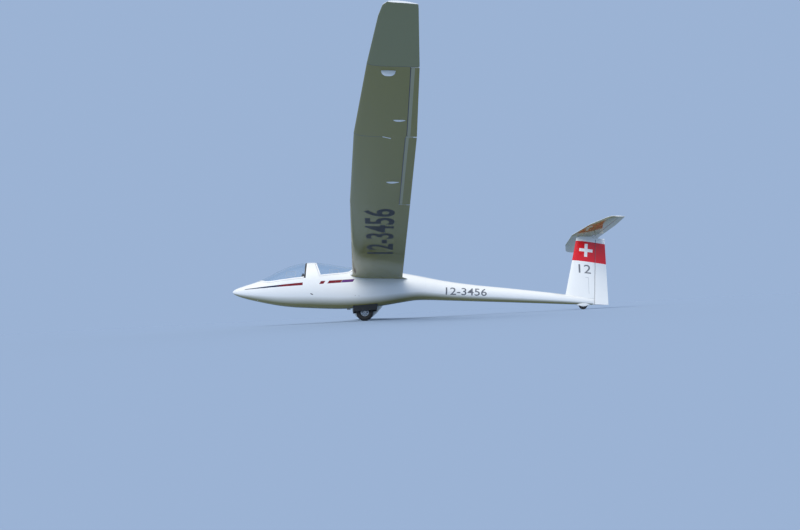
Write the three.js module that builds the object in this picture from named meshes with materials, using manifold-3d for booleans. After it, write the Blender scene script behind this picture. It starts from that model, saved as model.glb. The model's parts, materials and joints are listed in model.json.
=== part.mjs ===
// Two-seat sailplane of the 20 m class with a T-tail, a retractable main wheel and two canopies.
// Millimetres. It is laid out level: X runs aft from the nose tip, Y to starboard, Z up, with
// Z = 0 at the nose tip. The last group turns it onto main wheel, tail wheel and starboard tip
// skid, as it parks, and puts the origin under the middle of its box.
import * as THREE from "three";
import { mergeVertices } from "three/addons/utils/BufferGeometryUtils.js";
import Module from "manifold-3d";

const wasm = await Module();
wasm.setup();

// Clearances
const SEAT_GAP = 0.3;
const MOVING_GAP = 5;

// Parked attitude, degrees: nose up, and rolled onto the starboard wing tip
const PARKED_PITCH = 4.61;
const PARKED_ROLL = 8.46;

// Fuselage
const BOOM_JOINT_X = 4300;
const BOOM_END_X = 8215;
const COCKPIT_WALL = 18;
const COCKPIT_FRONT_X = 420;
const COCKPIT_REAR_X = 2660;
const HULL_SIDES = 32;

// Canopies: one straight sill runs under both
const SILL_START = { x: 800, z: 192 };
const SILL_SLOPE = 0.148;
const CANOPY_TIP = { x: 530, z: 252 };
const ARCH_FRONT_X = 1630;
const ARCH_REAR_BASE_X = 1930;
const ARCH_REAR_TOP = { x: 1780, z: 760 };
const CANOPY_FRAME_WIDTH = 30;
const CANOPY_FRAME_DEPTH = 20;
const CANOPY_GLASS = 5;
const ABOVE_ALL = 1100;
const CUT_TOP = 1160;
const LATCH_PAD = 40;

// Wing
const WING_INCIDENCE = 2.5;
const WING_CAMBER = 0.028;
const WING_ROOT_Y = 420;
const PANEL_JOINT_Y = 7400;
const TIP_JOINT_Y = 9050;
const RIB = 10;
const AILERON_START_Y = 4960;
const AILERON_INNER_HINGE = 0.83;
const AILERON_OUTER_HINGE = 0.85;
const TRAILING_EDGE = 3;
const CHORD_STEPS = 12;
const COVE_LIP_DEGREES = 55;
const HINGE_PIN = 4;
const PIN_ROOT = 12;

// Fairings over the aileron horns, just ahead of the hinges under the wing: share of the length
// from the front, and share of the full width and depth there
const HORN_FAIRING = { length: 230, width: 46, depth: 26, ahead: 0.035, innerY: 5900, outerY: 7850 };
const HORN_SHAPE = [
  { part: 0, size: 0.12 },
  { part: 0.15, size: 0.7 },
  { part: 0.4, size: 1 },
  { part: 0.7, size: 0.75 },
  { part: 1, size: 0.12 },
];

// Airbrakes, out of the top skin only
const BRAKE = { fromY: 2600, toY: 3900, chord: 0.52, blade: 8, height: 96, cap: 30, capDepth: 4 };

// Tail
const ELEVATOR_HINGE_X = 8305;
const ELEVATOR_HALF_SPAN = 1570;
const TAILPLANE_Z = 1600;
const RUDDER_BOTTOM_Z = -40;
const RUDDER_TOP_Z = 1495;
const FIN_CAP_Z = 1535;
const FIN_CAP_END_X = 8255;
const FIN_FOOT = { z: 20, clearX: 8000, clearZ: 95 };
const TAILPLANE_SEAT_HALF = 300;
const RUDDER_PIN = 5;

// Landing gear
const MAIN_WHEEL = { x: 2960, z: -370, radius: 190, width: 150, rim: 92, axle: 12 };
const WHEEL_BAY = { front: 2690, rear: 3240, half: 135, roof: -10 };
const FORK = { inner: 90, outer: 106, length: 110, bridge: 24, shoulder: 60, neck: 26, foot: 24 };
const AXLE_END = 6;
const DOOR = { height: 130, thick: 8, gap: 2, ends: 5, above: 40 };
const TAIL_WHEEL = { x: 7970, z: -58, radius: 100, width: 50, rim: 46, axle: 8 };
const TAIL_WHEEL_GAP = 6;
const TAIL_FAIRING = { front: 7780, rear: 8150, half: 52, middleZ: -20, up: 60, down: 92 };
const TIP_SKID = { y: 8960, chord: 0.42, length: 170, width: 26, drop: 62, root: 30 };

// Tow release under the belly, ahead of the wheel
const TOW_RELEASE = { front: 2560, rear: 2640, half: 22, drop: 26 };

// Tail wheel fairing: share of the length, of the half width and of the depth
const TAIL_FAIRING_SHAPE = [
  { part: 0, wide: 0.2, deep: 0.1 },
  { part: 0.12, wide: 0.6, deep: 0.5 },
  { part: 0.3, wide: 0.92, deep: 0.9 },
  { part: 0.5, wide: 1, deep: 1 },
  { part: 0.7, wide: 0.9, deep: 0.92 },
  { part: 0.88, wide: 0.6, deep: 0.55 },
  { part: 1, wide: 0.2, deep: 0.1 },
];

// Cockpit furniture
// Seats: x of the pan's front edge and of the backrest's foot and head, and their heights
const SEATS = [
  { label: "front", front: 1010, foot: 1290, head: 1545, frontZ: -120, footZ: -190, headZ: 360 },
  { label: "rear", front: 1960, foot: 2330, head: 2560, frontZ: -120, footZ: -190, headZ: 380 },
];
const SEAT_THICK = 14;
const CUSHION_THICK = 45;
const SEAT_HALF = 235;
const SEAT_EDGE = 30;
const CUSHION_EDGE = 15;
const HEADREST = { half: 95, low: -31, front: -62, back: -6, topBack: 34, topFront: -6 };
const HEADREST_TOP = { back: 112, front: 122 };

// Instrument consoles: x of the panel face and of the back, lower and upper height, half width
const PANEL_LEAN = 22;
const CONSOLES = [
  { label: "front", face: 905, back: 760, low: 20, high: 262, half: 150 },
  { label: "rear", face: 1800, back: 1690, low: 150, high: 440, half: 175 },
];
const PEDESTAL = { front: 20, rear: 90, half: 45 };

// Control sticks between the knees: x and z of the foot, height
const STICKS = [
  { label: "front", x: 962, footZ: -232, rise: 300 },
  { label: "rear", x: 1905, footZ: -286, rise: 350 },
];
const STICK = { radius: 11, lean: 30, grip: 18, gripBelow: 70, gripAbove: 50 };
const STICK_BOX = { front: 30, half: 40, rise: 16 };
const PEDAL_BAR = { front: 560, rear: 590, half: 120, top: -90 };

// Beyond the hull on each side, and below the cockpit floor
const BESIDE_HULL = 600;
const BELOW_FLOOR = -400;

// Fuselage sections: x, half width, top, bottom, height of the widest line
const HULL = [
  { x: 0, half: 10, top: 10, bottom: -10, waist: 0 },
  { x: 30, half: 44, top: 45, bottom: -43, waist: 1 },
  { x: 90, half: 80, top: 82, bottom: -76, waist: 3 },
  { x: 260, half: 138, top: 150, bottom: -131, waist: 10 },
  { x: 530, half: 202, top: 252, bottom: -190, waist: 30 },
  { x: 800, half: 256, top: 392, bottom: -238, waist: 72 },
  { x: 1070, half: 304, top: 545, bottom: -276, waist: 118 },
  { x: 1350, half: 338, top: 663, bottom: -298, waist: 150 },
  { x: 1700, half: 360, top: 730, bottom: -306, waist: 168 },
  { x: 2050, half: 364, top: 716, bottom: -309, waist: 172 },
  { x: 2420, half: 360, top: 664, bottom: -304, waist: 176 },
  { x: 2850, half: 352, top: 632, bottom: -272, waist: 190 },
  { x: 3300, half: 334, top: 602, bottom: -214, waist: 210 },
  { x: 3750, half: 308, top: 560, bottom: -126, waist: 226 },
  { x: 4100, half: 282, top: 512, bottom: -62, waist: 228 },
  { x: 4400, half: 254, top: 462, bottom: -46, waist: 208 },
  { x: 4800, half: 219, top: 400, bottom: -45, waist: 178 },
  { x: 5400, half: 190, top: 336, bottom: -46, waist: 145 },
  { x: 6200, half: 163, top: 282, bottom: -46, waist: 118 },
  { x: 7000, half: 136, top: 224, bottom: -48, waist: 88 },
  { x: 7600, half: 110, top: 172, bottom: -50, waist: 60 },
  { x: 8000, half: 74, top: 138, bottom: -48, waist: 42 },
  { x: 8240, half: 44, top: 112, bottom: -44, waist: 34 },
];

// Wing sections: y, leading edge x, chord, height of the quarter chord, thickness ratio
const WING = [
  { span: 360, le: 2650, chord: 1120, z: 420, thick: 0.15 },
  { span: 4960, le: 2600, chord: 970, z: 661, thick: 0.148 },
  { span: 7400, le: 2650, chord: 810, z: 789, thick: 0.145 },
  { span: 9050, le: 2780, chord: 560, z: 875, thick: 0.14 },
  { span: 9800, le: 2870, chord: 391, z: 967, thick: 0.12 },
  { span: 9950, le: 2905, chord: 340, z: 986, thick: 0.105 },
  { span: 10000, le: 2950, chord: 288, z: 992, thick: 0.07 },
];

// Root fairing: y, extra chord ahead, extra chord behind, growth of thickness
const ROOT_FAIRING = [
  { y: 180, ahead: 130, behind: 190, swell: 1.5 },
  { y: 300, ahead: 60, behind: 95, swell: 1.28 },
  { y: 345, ahead: 26, behind: 42, swell: 1.12 },
  { y: 385, ahead: 8, behind: 12, swell: 1.03 },
  { y: WING_ROOT_Y, ahead: 0, behind: 0, swell: 1 },
];

// Tailplane sections: y, leading edge x, chord, thickness ratio
const TAILPLANE = [
  { span: 0, le: 7770, chord: 682, thick: 0.11 },
  { span: 940, le: 7890, chord: 580, thick: 0.11 },
  { span: 1500, le: 8068, chord: 370, thick: 0.105 },
  { span: 1600, le: 8120, chord: 310, thick: 0.1 },
  { span: 1640, le: 8190, chord: 235, thick: 0.07 },
];

// Fin and rudder sections: z, leading edge x, chord, thickness ratio
const FIN = [
  { span: -60, le: 7519, chord: 1052, thick: 0.12 },
  { span: 400, le: 7621, chord: 944, thick: 0.118 },
  { span: 1000, le: 7755, chord: 802, thick: 0.114 },
  { span: 1640, le: 7898, chord: 650, thick: 0.11 },
];
const RUDDER_HINGE = { bottomX: 8240, topX: 8330 };

// Finishes
const finish = (color, roughness, metalness = 0, extra = {}) =>
  new THREE.MeshStandardMaterial({ color, roughness, metalness, ...extra });
const WHITE_GELCOAT = finish("#f3f4f2", 0.18);
const CLEAR_CANOPY = finish("#bcd6ea", 0.05, 0, { transparent: true, opacity: 0.3 });
const GREY_LINING = finish("#8d9296", 0.75);
const SEAT_SHELL = finish("#b9bcbd", 0.6);
const SEAT_CLOTH = finish("#4a5560", 0.95);
const PANEL_BLACK = finish("#1a1b1d", 0.55);
const DOOR_BLACK = finish("#0e0f10", 0.35);
const TYRE_RUBBER = finish("#1b1b1c", 0.9);
const WHEEL_ALUMINIUM = finish("#b4b7ba", 0.35, 0.9);
const GEAR_STEEL = finish("#7f868c", 0.45, 0.7);

const glider = new THREE.Group();

// Hinge lines and slide directions, each run from one point to another, and mounting faces, each
// a point and a point outside it, all in the level layout
const axes = {};
const mountFaces = {};
const point = (x, y, z) => new THREE.Vector3(x, y, z);
const radians = THREE.MathUtils.degToRad;

// Turns a closed geometry into a solid that can be cut and joined.
function solidOf(geometry) {
  const bare = geometry.clone();
  bare.deleteAttribute("normal");
  bare.deleteAttribute("uv");
  const merged = mergeVertices(bare, 1e-3);
  return new wasm.Manifold(
    new wasm.Mesh({
      numProp: 3,
      vertProperties: new Float32Array(merged.attributes.position.array),
      triVerts: new Uint32Array(merged.index.array),
    }),
  );
}

// Adds a solid to the glider as a named mesh.
function piece(name, solid, material) {
  const mesh = solid.getMesh();
  const geometry = new THREE.BufferGeometry();
  geometry.setAttribute("position", new THREE.BufferAttribute(mesh.vertProperties, 3));
  geometry.setIndex(new THREE.BufferAttribute(mesh.triVerts, 1));
  const node = new THREE.Mesh(geometry.toNonIndexed(), material);
  node.name = name;
  node.geometry.computeVertexNormals();
  glider.add(node);
}

// Skins a row of rings and closes both ends. Each end joins point i to its partner n - i, so a
// ring starts on its section's axis and comes back along the other side.
function loft(rings) {
  const n = rings[0].length;
  const faces = [];
  for (let r = 0; r < rings.length - 1; r++) {
    for (let i = 0; i < n; i++) {
      const a = r * n + i;
      const b = r * n + ((i + 1) % n);
      faces.push(a, b, a + n, b, b + n, a + n);
    }
  }
  const close = (start, turned) => {
    for (let i = 0; 2 * i + 2 <= n; i++) {
      const [a, b, c, d] = [i, i + 1, n - 1 - i, (n - i) % n].map((k) => start + k);
      if (b !== c) faces.push(...(turned ? [a, b, c] : [a, c, b]));
      if (i > 0) faces.push(...(turned ? [a, c, d] : [a, d, c]));
    }
  };
  close(0, false);
  close((rings.length - 1) * n, true);
  const points = rings.flat();
  let volume = 0;
  for (let f = 0; f < faces.length; f += 3) {
    const [a, b, c] = [0, 1, 2].map((k) => points[faces[f + k]]);
    volume += a.dot(b.clone().cross(c));
  }
  if (volume < 0) {
    for (let f = 0; f < faces.length; f += 3) [faces[f], faces[f + 1]] = [faces[f + 1], faces[f]];
  }
  return solidOf(new THREE.BufferGeometry().setFromPoints(points).setIndex(faces));
}

// A flat outline in the XZ plane, given as [x, z] pairs, run from y0 to y1.
function slab(outline, y0, y1) {
  const shape = new THREE.Shape(outline.map(([x, z]) => new THREE.Vector2(x, z)));
  const geometry = new THREE.ExtrudeGeometry(shape, { depth: y1 - y0, bevelEnabled: false });
  return solidOf(geometry.rotateX(Math.PI / 2).translate(0, y1, 0));
}

// A box from one corner to the opposite one.
function block(x0, x1, y0, y1, z0, z1) {
  const geometry = new THREE.BoxGeometry(x1 - x0, y1 - y0, z1 - z0);
  return solidOf(geometry.translate((x0 + x1) / 2, (y0 + y1) / 2, (z0 + z1) / 2));
}

// A round bar between two points.
function bar(from, to, radius, sides = 16) {
  const along = to.clone().sub(from);
  const geometry = new THREE.CylinderGeometry(radius, radius, along.length(), sides);
  const turn = new THREE.Quaternion().setFromUnitVectors(point(0, 1, 0), along.normalize());
  geometry.applyQuaternion(turn);
  const middle = from.clone().add(to).multiplyScalar(0.5);
  return solidOf(geometry.translate(middle.x, middle.y, middle.z));
}

// A profile of [radius, offset] pairs turned round the Y axis through (x, z).
function turned(profile, x, z, segments) {
  const geometry = new THREE.LatheGeometry(
    profile.map(([r, y]) => new THREE.Vector2(r, y)),
    segments,
  );
  return solidOf(geometry.translate(x, 0, z));
}

// Value of each named column of a table at a place between its rows: straight or smooth.
function tableAt(rows, key, at, smooth) {
  let i = rows.findIndex((row, k) => k < rows.length - 2 && at < rows[k + 1][key]);
  if (i < 0) i = rows.length - 2;
  const [p, q] = [rows[i], rows[i + 1]];
  const width = q[key] - p[key];
  const t = (at - p[key]) / width;
  const before = rows[i - 1] ?? p;
  const after = rows[i + 2] ?? q;
  const result = { [key]: at };
  for (const name of Object.keys(p)) {
    if (name === key) continue;
    if (!smooth) {
      result[name] = p[name] + (q[name] - p[name]) * t;
      continue;
    }
    const slopeP = ((q[name] - before[name]) / (q[key] - before[key])) * width;
    const slopeQ = ((after[name] - p[name]) / (after[key] - p[key])) * width;
    result[name] =
      p[name] * (2 * t ** 3 - 3 * t ** 2 + 1) +
      slopeP * (t ** 3 - 2 * t ** 2 + t) +
      q[name] * (3 * t ** 2 - 2 * t ** 3) +
      slopeQ * (t ** 3 - t ** 2);
  }
  return result;
}

// Fuselage

// One section: two half ellipses that meet at the widest line, drawn in by an inset.
function hullRing(x, inset) {
  const s = tableAt(HULL, "x", x, true);
  const ring = [];
  for (let k = 0; k < HULL_SIDES; k++) {
    const angle = (k / HULL_SIDES) * 2 * Math.PI;
    const rise = Math.cos(angle) > 0 ? s.top - s.waist : s.waist - s.bottom;
    const y = Math.sin(angle) * (s.half - inset);
    ring.push(point(x, y, s.waist + Math.cos(angle) * (rise - inset)));
  }
  return ring;
}

// The hull between two stations, with a section at every row and halfway between rows.
function hull(from, to, inset) {
  const places = [from];
  HULL.forEach((row, i) => {
    places.push(row.x);
    if (HULL[i + 1]) places.push((row.x + HULL[i + 1].x) / 2);
  });
  places.push(to);
  const inside = [...new Set(places)].filter((x) => x >= from && x <= to).sort((a, b) => a - b);
  return loft(inside.map((x) => hullRing(x, inset)));
}

const sillZ = (x) => SILL_START.z + SILL_SLOPE * (x - SILL_START.x);

// Lower edges of the two canopies in side view, from front to rear
const tipSlope = (SILL_START.z - CANOPY_TIP.z) / (SILL_START.x - CANOPY_TIP.x);
const FRONT_CANOPY_EDGE = [
  [CANOPY_TIP.x - 130, CANOPY_TIP.z - 130 * tipSlope],
  [SILL_START.x - 90, SILL_START.z - 90 * tipSlope],
  [SILL_START.x, SILL_START.z + 7],
  [SILL_START.x + 90, sillZ(SILL_START.x + 90)],
  [ARCH_FRONT_X, sillZ(ARCH_FRONT_X)],
  [ARCH_FRONT_X, ABOVE_ALL],
];
const archLean = (ARCH_REAR_BASE_X - ARCH_REAR_TOP.x) / (ARCH_REAR_TOP.z - sillZ(ARCH_REAR_BASE_X));
const REAR_CANOPY_EDGE = [
  [ARCH_REAR_TOP.x - archLean * (ABOVE_ALL - ARCH_REAR_TOP.z), ABOVE_ALL],
  [ARCH_REAR_BASE_X, sillZ(ARCH_REAR_BASE_X)],
  [2470, sillZ(2470)],
  [2590, 468],
  [2672, 538],
  [2712, 640],
  [2718, ABOVE_ALL],
];

// Canopies: x of both latches and of both hinges opposite them, and y of the hinge line
const CANOPIES = [
  { label: "front", edge: FRONT_CANOPY_EDGE, latches: [1050, 1480], hingeY: 350 },
  { label: "rear", edge: REAR_CANOPY_EDGE, latches: [2080, 2380], hingeY: 348 },
];

// Moves an open path of [x, z] pairs sideways, to the side that lies above a path run aft.
function insetPath(path, distance) {
  const lines = path.slice(1).map(([x1, z1], i) => {
    const [x0, z0] = path[i];
    const length = Math.hypot(x1 - x0, z1 - z0);
    const [nx, nz] = [-(z1 - z0) / length, (x1 - x0) / length];
    return { x: x0 + nx * distance, z: z0 + nz * distance, dx: x1 - x0, dz: z1 - z0 };
  });
  const moved = lines.slice(1).map((line, i) => {
    const last = lines[i];
    const cross = last.dx * line.dz - last.dz * line.dx;
    const t = ((line.x - last.x) * line.dz - (line.z - last.z) * line.dx) / cross;
    return [last.x + last.dx * t, last.z + last.dz * t];
  });
  const end = lines[lines.length - 1];
  return [[lines[0].x, lines[0].z], ...moved, [end.x + end.dx, end.z + end.dz]];
}

// Everything above a canopy edge, drawn in by an inset.
function aboveEdge(edge, inset) {
  const path = insetPath(edge, inset);
  const first = path[0];
  const last = path[path.length - 1];
  const outline = [...path, [last[0], CUT_TOP], [first[0], CUT_TOP]];
  return slab(outline, -BESIDE_HULL, BESIDE_HULL);
}

const wheelBay = block(
  WHEEL_BAY.front,
  WHEEL_BAY.rear,
  -WHEEL_BAY.half,
  WHEEL_BAY.half,
  -BESIDE_HULL,
  WHEEL_BAY.roof,
);

// Wing and tail sections, in mm from the leading edge and above the chord line

// Heights of both skins at a distance behind the leading edge. The growth thickens the section.
function skins(s, distance, growth = 0) {
  const u = Math.min(Math.max(distance / s.chord, 0), 1);
  const half =
    s.chord *
      s.thick *
      (1.4845 * Math.sqrt(u) - 0.63 * u - 1.758 * u ** 2 + 1.4215 * u ** 3 - 0.518 * u ** 4) +
    (TRAILING_EDGE / 2) * u +
    growth;
  const camber = s.chord * s.camber * 4 * u * (1 - u);
  return { top: camber + half, bottom: camber - half };
}

// Chord fractions of a whole section, closer together at both edges
const chordFraction = (k) => (1 - Math.cos((Math.PI * k) / CHORD_STEPS)) / 2;

function wholeRing(s, place, growth = 0) {
  const ahead = growth ? growth * 2 : 0;
  const over = [];
  const under = [];
  for (let k = 1; k <= CHORD_STEPS; k++) {
    const distance = chordFraction(k) * s.chord;
    const h = skins(s, distance, growth);
    over.push(place(s, distance, h.top));
    under.unshift(place(s, distance, h.bottom));
  }
  return [place(s, -ahead, 0), ...over, ...under];
}

// Hinge point and nose radius of a control surface in a section.
function hingeOf(s, hingeX) {
  const distance = hingeX - s.le;
  const h = skins(s, distance);
  return { distance, height: (h.top + h.bottom) / 2, radius: (h.top - h.bottom) / 2 };
}

// A control surface: round nose about the hinge, then both skins to the trailing edge.
function surfaceRing(s, hingeX, place) {
  const h = hingeOf(s, hingeX);
  const over = [];
  const under = [];
  for (const degrees of [22.5, 45, 67.5, 90]) {
    const ahead = h.radius * Math.cos(radians(degrees));
    const up = h.radius * Math.sin(radians(degrees));
    over.push(place(s, h.distance - ahead, h.height + up));
    under.unshift(place(s, h.distance - ahead, h.height - up));
  }
  for (const part of [0.35, 0.7, 1]) {
    const distance = h.distance + (s.chord - h.distance) * part;
    const skin = skins(s, distance);
    over.push(place(s, distance, skin.top));
    under.unshift(place(s, distance, skin.bottom));
  }
  return [place(s, h.distance - h.radius, h.height), ...over, ...under];
}

// The room of a control surface: a round cove about the hinge, open behind.
function coveRing(s, hingeX, place) {
  const h = hingeOf(s, hingeX);
  const reach = h.radius + MOVING_GAP;
  const over = [];
  const under = [];
  for (const degrees of [18, 36, COVE_LIP_DEGREES]) {
    const ahead = reach * Math.cos(radians(degrees));
    const up = reach * Math.sin(radians(degrees));
    over.push(place(s, h.distance - ahead, h.height + up));
    under.unshift(place(s, h.distance - ahead, h.height - up));
  }
  const lip = h.distance - reach * Math.cos(radians(COVE_LIP_DEGREES));
  for (const distance of [lip, s.chord + 120]) {
    over.push(place(s, distance, h.height + reach + 60));
    under.unshift(place(s, distance, h.height - reach - 60));
  }
  return [place(s, h.distance - reach, h.height), ...over, ...under];
}

// A control surface between two span positions, with a hinge pin at each end that has a seat.
function controlSurface({ name, rows, place, from, to, hingeX, pins, pinRadius }) {
  const spans = [from, ...rows.map((row) => row.span).filter((y) => y > from && y < to), to];
  const sections = spans.map((span) => tableAt(rows, "span", span, false));
  let solid = loft(sections.map((s) => surfaceRing(s, hingeX(s.span), place)));
  const axis = (span) => {
    const s = tableAt(rows, "span", span, false);
    const h = hingeOf(s, hingeX(span));
    return place(s, h.distance, h.height);
  };
  axes[name] = [axis(from), axis(to)];
  const reach = MOVING_GAP - SEAT_GAP;
  for (const [end, way] of [
    [from, -1],
    [to, 1],
  ]) {
    if (!pins.includes(way)) continue;
    solid = solid.add(bar(axis(end - way * PIN_ROOT), axis(end + way * reach), pinRadius, 10));
  }
  piece(name, solid, WHITE_GELCOAT);
}

function coveBetween({ rows, place, from, to, hingeX }) {
  const spans = [from, ...rows.map((row) => row.span).filter((y) => y > from && y < to), to];
  const sections = spans.map((span) => tableAt(rows, "span", span, false));
  return loft(sections.map((s) => coveRing(s, hingeX(s.span), place)));
}

function surfaceLoft(rows, place, from, to, growth) {
  const spans = [from, ...rows.map((row) => row.span).filter((y) => y > from && y < to), to];
  const sections = spans.map((span) => tableAt(rows, "span", span, false));
  return loft(sections.map((s) => wholeRing(s, place, growth)));
}

// Wings
const wingRows = WING.map((row) => ({ ...row, camber: WING_CAMBER }));
const incidence = Math.sin(radians(WING_INCIDENCE));
const wingPlace = (side) => (s, distance, height) =>
  point(s.le + distance, side * s.span, s.z + (0.25 * s.chord - distance) * incidence + height);
const hingeAt = (fraction) => (span) => {
  const s = tableAt(wingRows, "span", span, false);
  return s.le + s.chord * fraction;
};
const AILERONS = [
  { name: "inner", from: AILERON_START_Y, to: PANEL_JOINT_Y - RIB, fraction: AILERON_INNER_HINGE },
  {
    name: "outer",
    from: PANEL_JOINT_Y + RIB,
    to: TIP_JOINT_Y - RIB,
    fraction: AILERON_OUTER_HINGE,
  },
];

// Upper-skin point of the wing at a span position and chord fraction.
function wingTop(side, span, fraction) {
  const s = tableAt(wingRows, "span", span, false);
  return wingPlace(side)(s, s.chord * fraction, skins(s, s.chord * fraction).top);
}

// Under the wing just ahead of an aileron hinge: a slim teardrop over the pushrod and horn.
function hornFairing(side, span, fraction) {
  const s = tableAt(wingRows, "span", span, false);
  const place = wingPlace(side);
  const rings = [];
  for (const { part, size } of HORN_SHAPE) {
    const distance = s.chord * fraction - HORN_FAIRING.length * (1.05 - part);
    const centre = place(s, distance, skins(s, distance).bottom);
    const ring = [];
    for (let k = 0; k < 10; k++) {
      const angle = (k / 10) * 2 * Math.PI;
      const across = Math.sin(angle) * (HORN_FAIRING.width / 2) * size;
      ring.push(centre.clone().add(point(0, across, Math.cos(angle) * HORN_FAIRING.depth * size)));
    }
    rings.push(ring);
  }
  return loft(rings);
}

// Airbrake frame: along the top skin, from the inboard to the outboard end of the slot.
function brakeFrame(side) {
  const inboard = wingTop(side, BRAKE.fromY, BRAKE.chord);
  const outboard = wingTop(side, BRAKE.toY, BRAKE.chord);
  const along = outboard.clone().sub(inboard);
  const length = along.length();
  const spanwise = along.normalize();
  const aft = point(1, 0, 0).addScaledVector(spanwise, -spanwise.x).normalize();
  const up = aft.clone().cross(spanwise).multiplyScalar(side);
  const middle = inboard.clone().add(outboard).multiplyScalar(0.5);
  return { spanwise: spanwise.multiplyScalar(side), aft, up, middle, length };
}

// A T section, cap over blade, in the airbrake's frame, with room all round it.
function brakeTee(side, room, floorRoom, rise) {
  const f = brakeFrame(side);
  const width = BRAKE.blade / 2 + room;
  const capWidth = BRAKE.cap / 2 + room;
  const shape = new THREE.Shape();
  shape.moveTo(-capWidth, rise);
  shape.lineTo(-capWidth, -BRAKE.capDepth - floorRoom);
  shape.lineTo(-width, -BRAKE.capDepth - floorRoom);
  shape.lineTo(-width, -BRAKE.height - room);
  shape.lineTo(width, -BRAKE.height - room);
  shape.lineTo(width, -BRAKE.capDepth - floorRoom);
  shape.lineTo(capWidth, -BRAKE.capDepth - floorRoom);
  shape.lineTo(capWidth, rise);
  const length = f.length + 2 * room;
  const geometry = new THREE.ExtrudeGeometry(shape, { depth: length, bevelEnabled: false });
  geometry.translate(0, 0, -length / 2);
  // The shape's x runs aft, its y up out of the skin, its depth to port.
  const toPort = f.spanwise.clone().multiplyScalar(-1);
  const frame = new THREE.Matrix4().makeBasis(f.aft, f.up, toPort).setPosition(f.middle);
  return solidOf(geometry.applyMatrix4(frame));
}

function wing(side, label) {
  const place = wingPlace(side);
  const inner = surfaceLoft(wingRows, place, WING_ROOT_Y + SEAT_GAP, PANEL_JOINT_Y, 0);
  const outer = surfaceLoft(wingRows, place, PANEL_JOINT_Y + SEAT_GAP, TIP_JOINT_Y, 0);
  const tip = surfaceLoft(wingRows, place, TIP_JOINT_Y + SEAT_GAP, 10000, 0);
  const coves = AILERONS.map(({ from, to, fraction }) =>
    coveBetween({ rows: wingRows, place, from, to, hingeX: hingeAt(fraction) }),
  );
  const innerPanel = inner
    .subtract(coves[0])
    .subtract(brakeTee(side, MOVING_GAP, SEAT_GAP, 60))
    .add(hornFairing(side, HORN_FAIRING.innerY, AILERON_INNER_HINGE - HORN_FAIRING.ahead));
  const outerPanel = outer
    .subtract(coves[1])
    .add(hornFairing(side, HORN_FAIRING.outerY, AILERON_OUTER_HINGE - HORN_FAIRING.ahead));
  piece("wing_inner_" + label, innerPanel, WHITE_GELCOAT);
  piece("wing_outer_" + label, outerPanel, WHITE_GELCOAT);
  piece("wing_tip_" + label, tip, WHITE_GELCOAT);
  piece("airbrake_" + label, brakeTee(side, 0, 0, 0), WHITE_GELCOAT);
  const frame = brakeFrame(side);
  axes["airbrake_" + label] = [frame.middle, frame.middle.clone().add(frame.up)];
  for (const { name, from, to, fraction } of AILERONS) {
    controlSurface({
      name: "aileron_" + name + "_" + label,
      rows: wingRows,
      place,
      from: from + MOVING_GAP,
      to: to - MOVING_GAP,
      hingeX: hingeAt(fraction),
      pins: [-1, 1],
      pinRadius: HINGE_PIN,
    });
  }
  piece("tip_skid_" + label, tipSkid(side), WHITE_GELCOAT);
}

// The skid under the wing just inboard of the tip joint, cut to the skin that it sits on.
function tipSkid(side) {
  const s = tableAt(wingRows, "span", TIP_SKID.y, false);
  const place = wingPlace(side);
  const { chord, length, width, drop, root } = TIP_SKID;
  const middle = place(s, s.chord * chord, skins(s, s.chord * chord).bottom);
  const outline = [
    [middle.x - length * 0.5, middle.z + root],
    [middle.x - length * 0.42, middle.z - drop * 0.45],
    [middle.x - length * 0.22, middle.z - drop * 0.9],
    [middle.x, middle.z - drop],
    [middle.x + length * 0.22, middle.z - drop * 0.8],
    [middle.x + length * 0.5, middle.z + root],
  ];
  const y = side * TIP_SKID.y;
  const skin = surfaceLoft(wingRows, place, PANEL_JOINT_Y, TIP_JOINT_Y, SEAT_GAP);
  return slab(outline, y - width / 2, y + width / 2).subtract(skin);
}

// Wing stubs that swell into the fuselage side
function rootFairing(side) {
  const place = wingPlace(side);
  const rings = ROOT_FAIRING.map(({ y, ahead, behind, swell }) => {
    const s = tableAt(wingRows, "span", Math.max(y, WING[0].span), false);
    const grown = {
      ...s,
      span: y,
      le: s.le - ahead,
      chord: s.chord + ahead + behind,
      thick: (s.thick * swell * s.chord) / (s.chord + ahead + behind),
      z: s.z - (ahead - 0.25 * (ahead + behind)) * incidence,
    };
    return wholeRing(grown, place);
  });
  return loft(rings);
}

// Tail
const tailRows = TAILPLANE.map((row) => ({ ...row, camber: 0 }));
const tailPlace = (s, distance, height) => point(s.le + distance, s.span, TAILPLANE_Z + height);
const mirroredTail = [
  ...tailRows
    .slice(1)
    .reverse()
    .map((row) => ({ ...row, span: -row.span })),
  ...tailRows,
];
const finRows = FIN.map((row) => ({ ...row, camber: 0 }));
const finPlace = (s, distance, height) => point(s.le + distance, height, s.span);
const rudderHingeX = (z) =>
  RUDDER_HINGE.bottomX +
  ((RUDDER_HINGE.topX - RUDDER_HINGE.bottomX) * (z - RUDDER_BOTTOM_Z)) /
    (RUDDER_TOP_Z - RUDDER_BOTTOM_Z);

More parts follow.
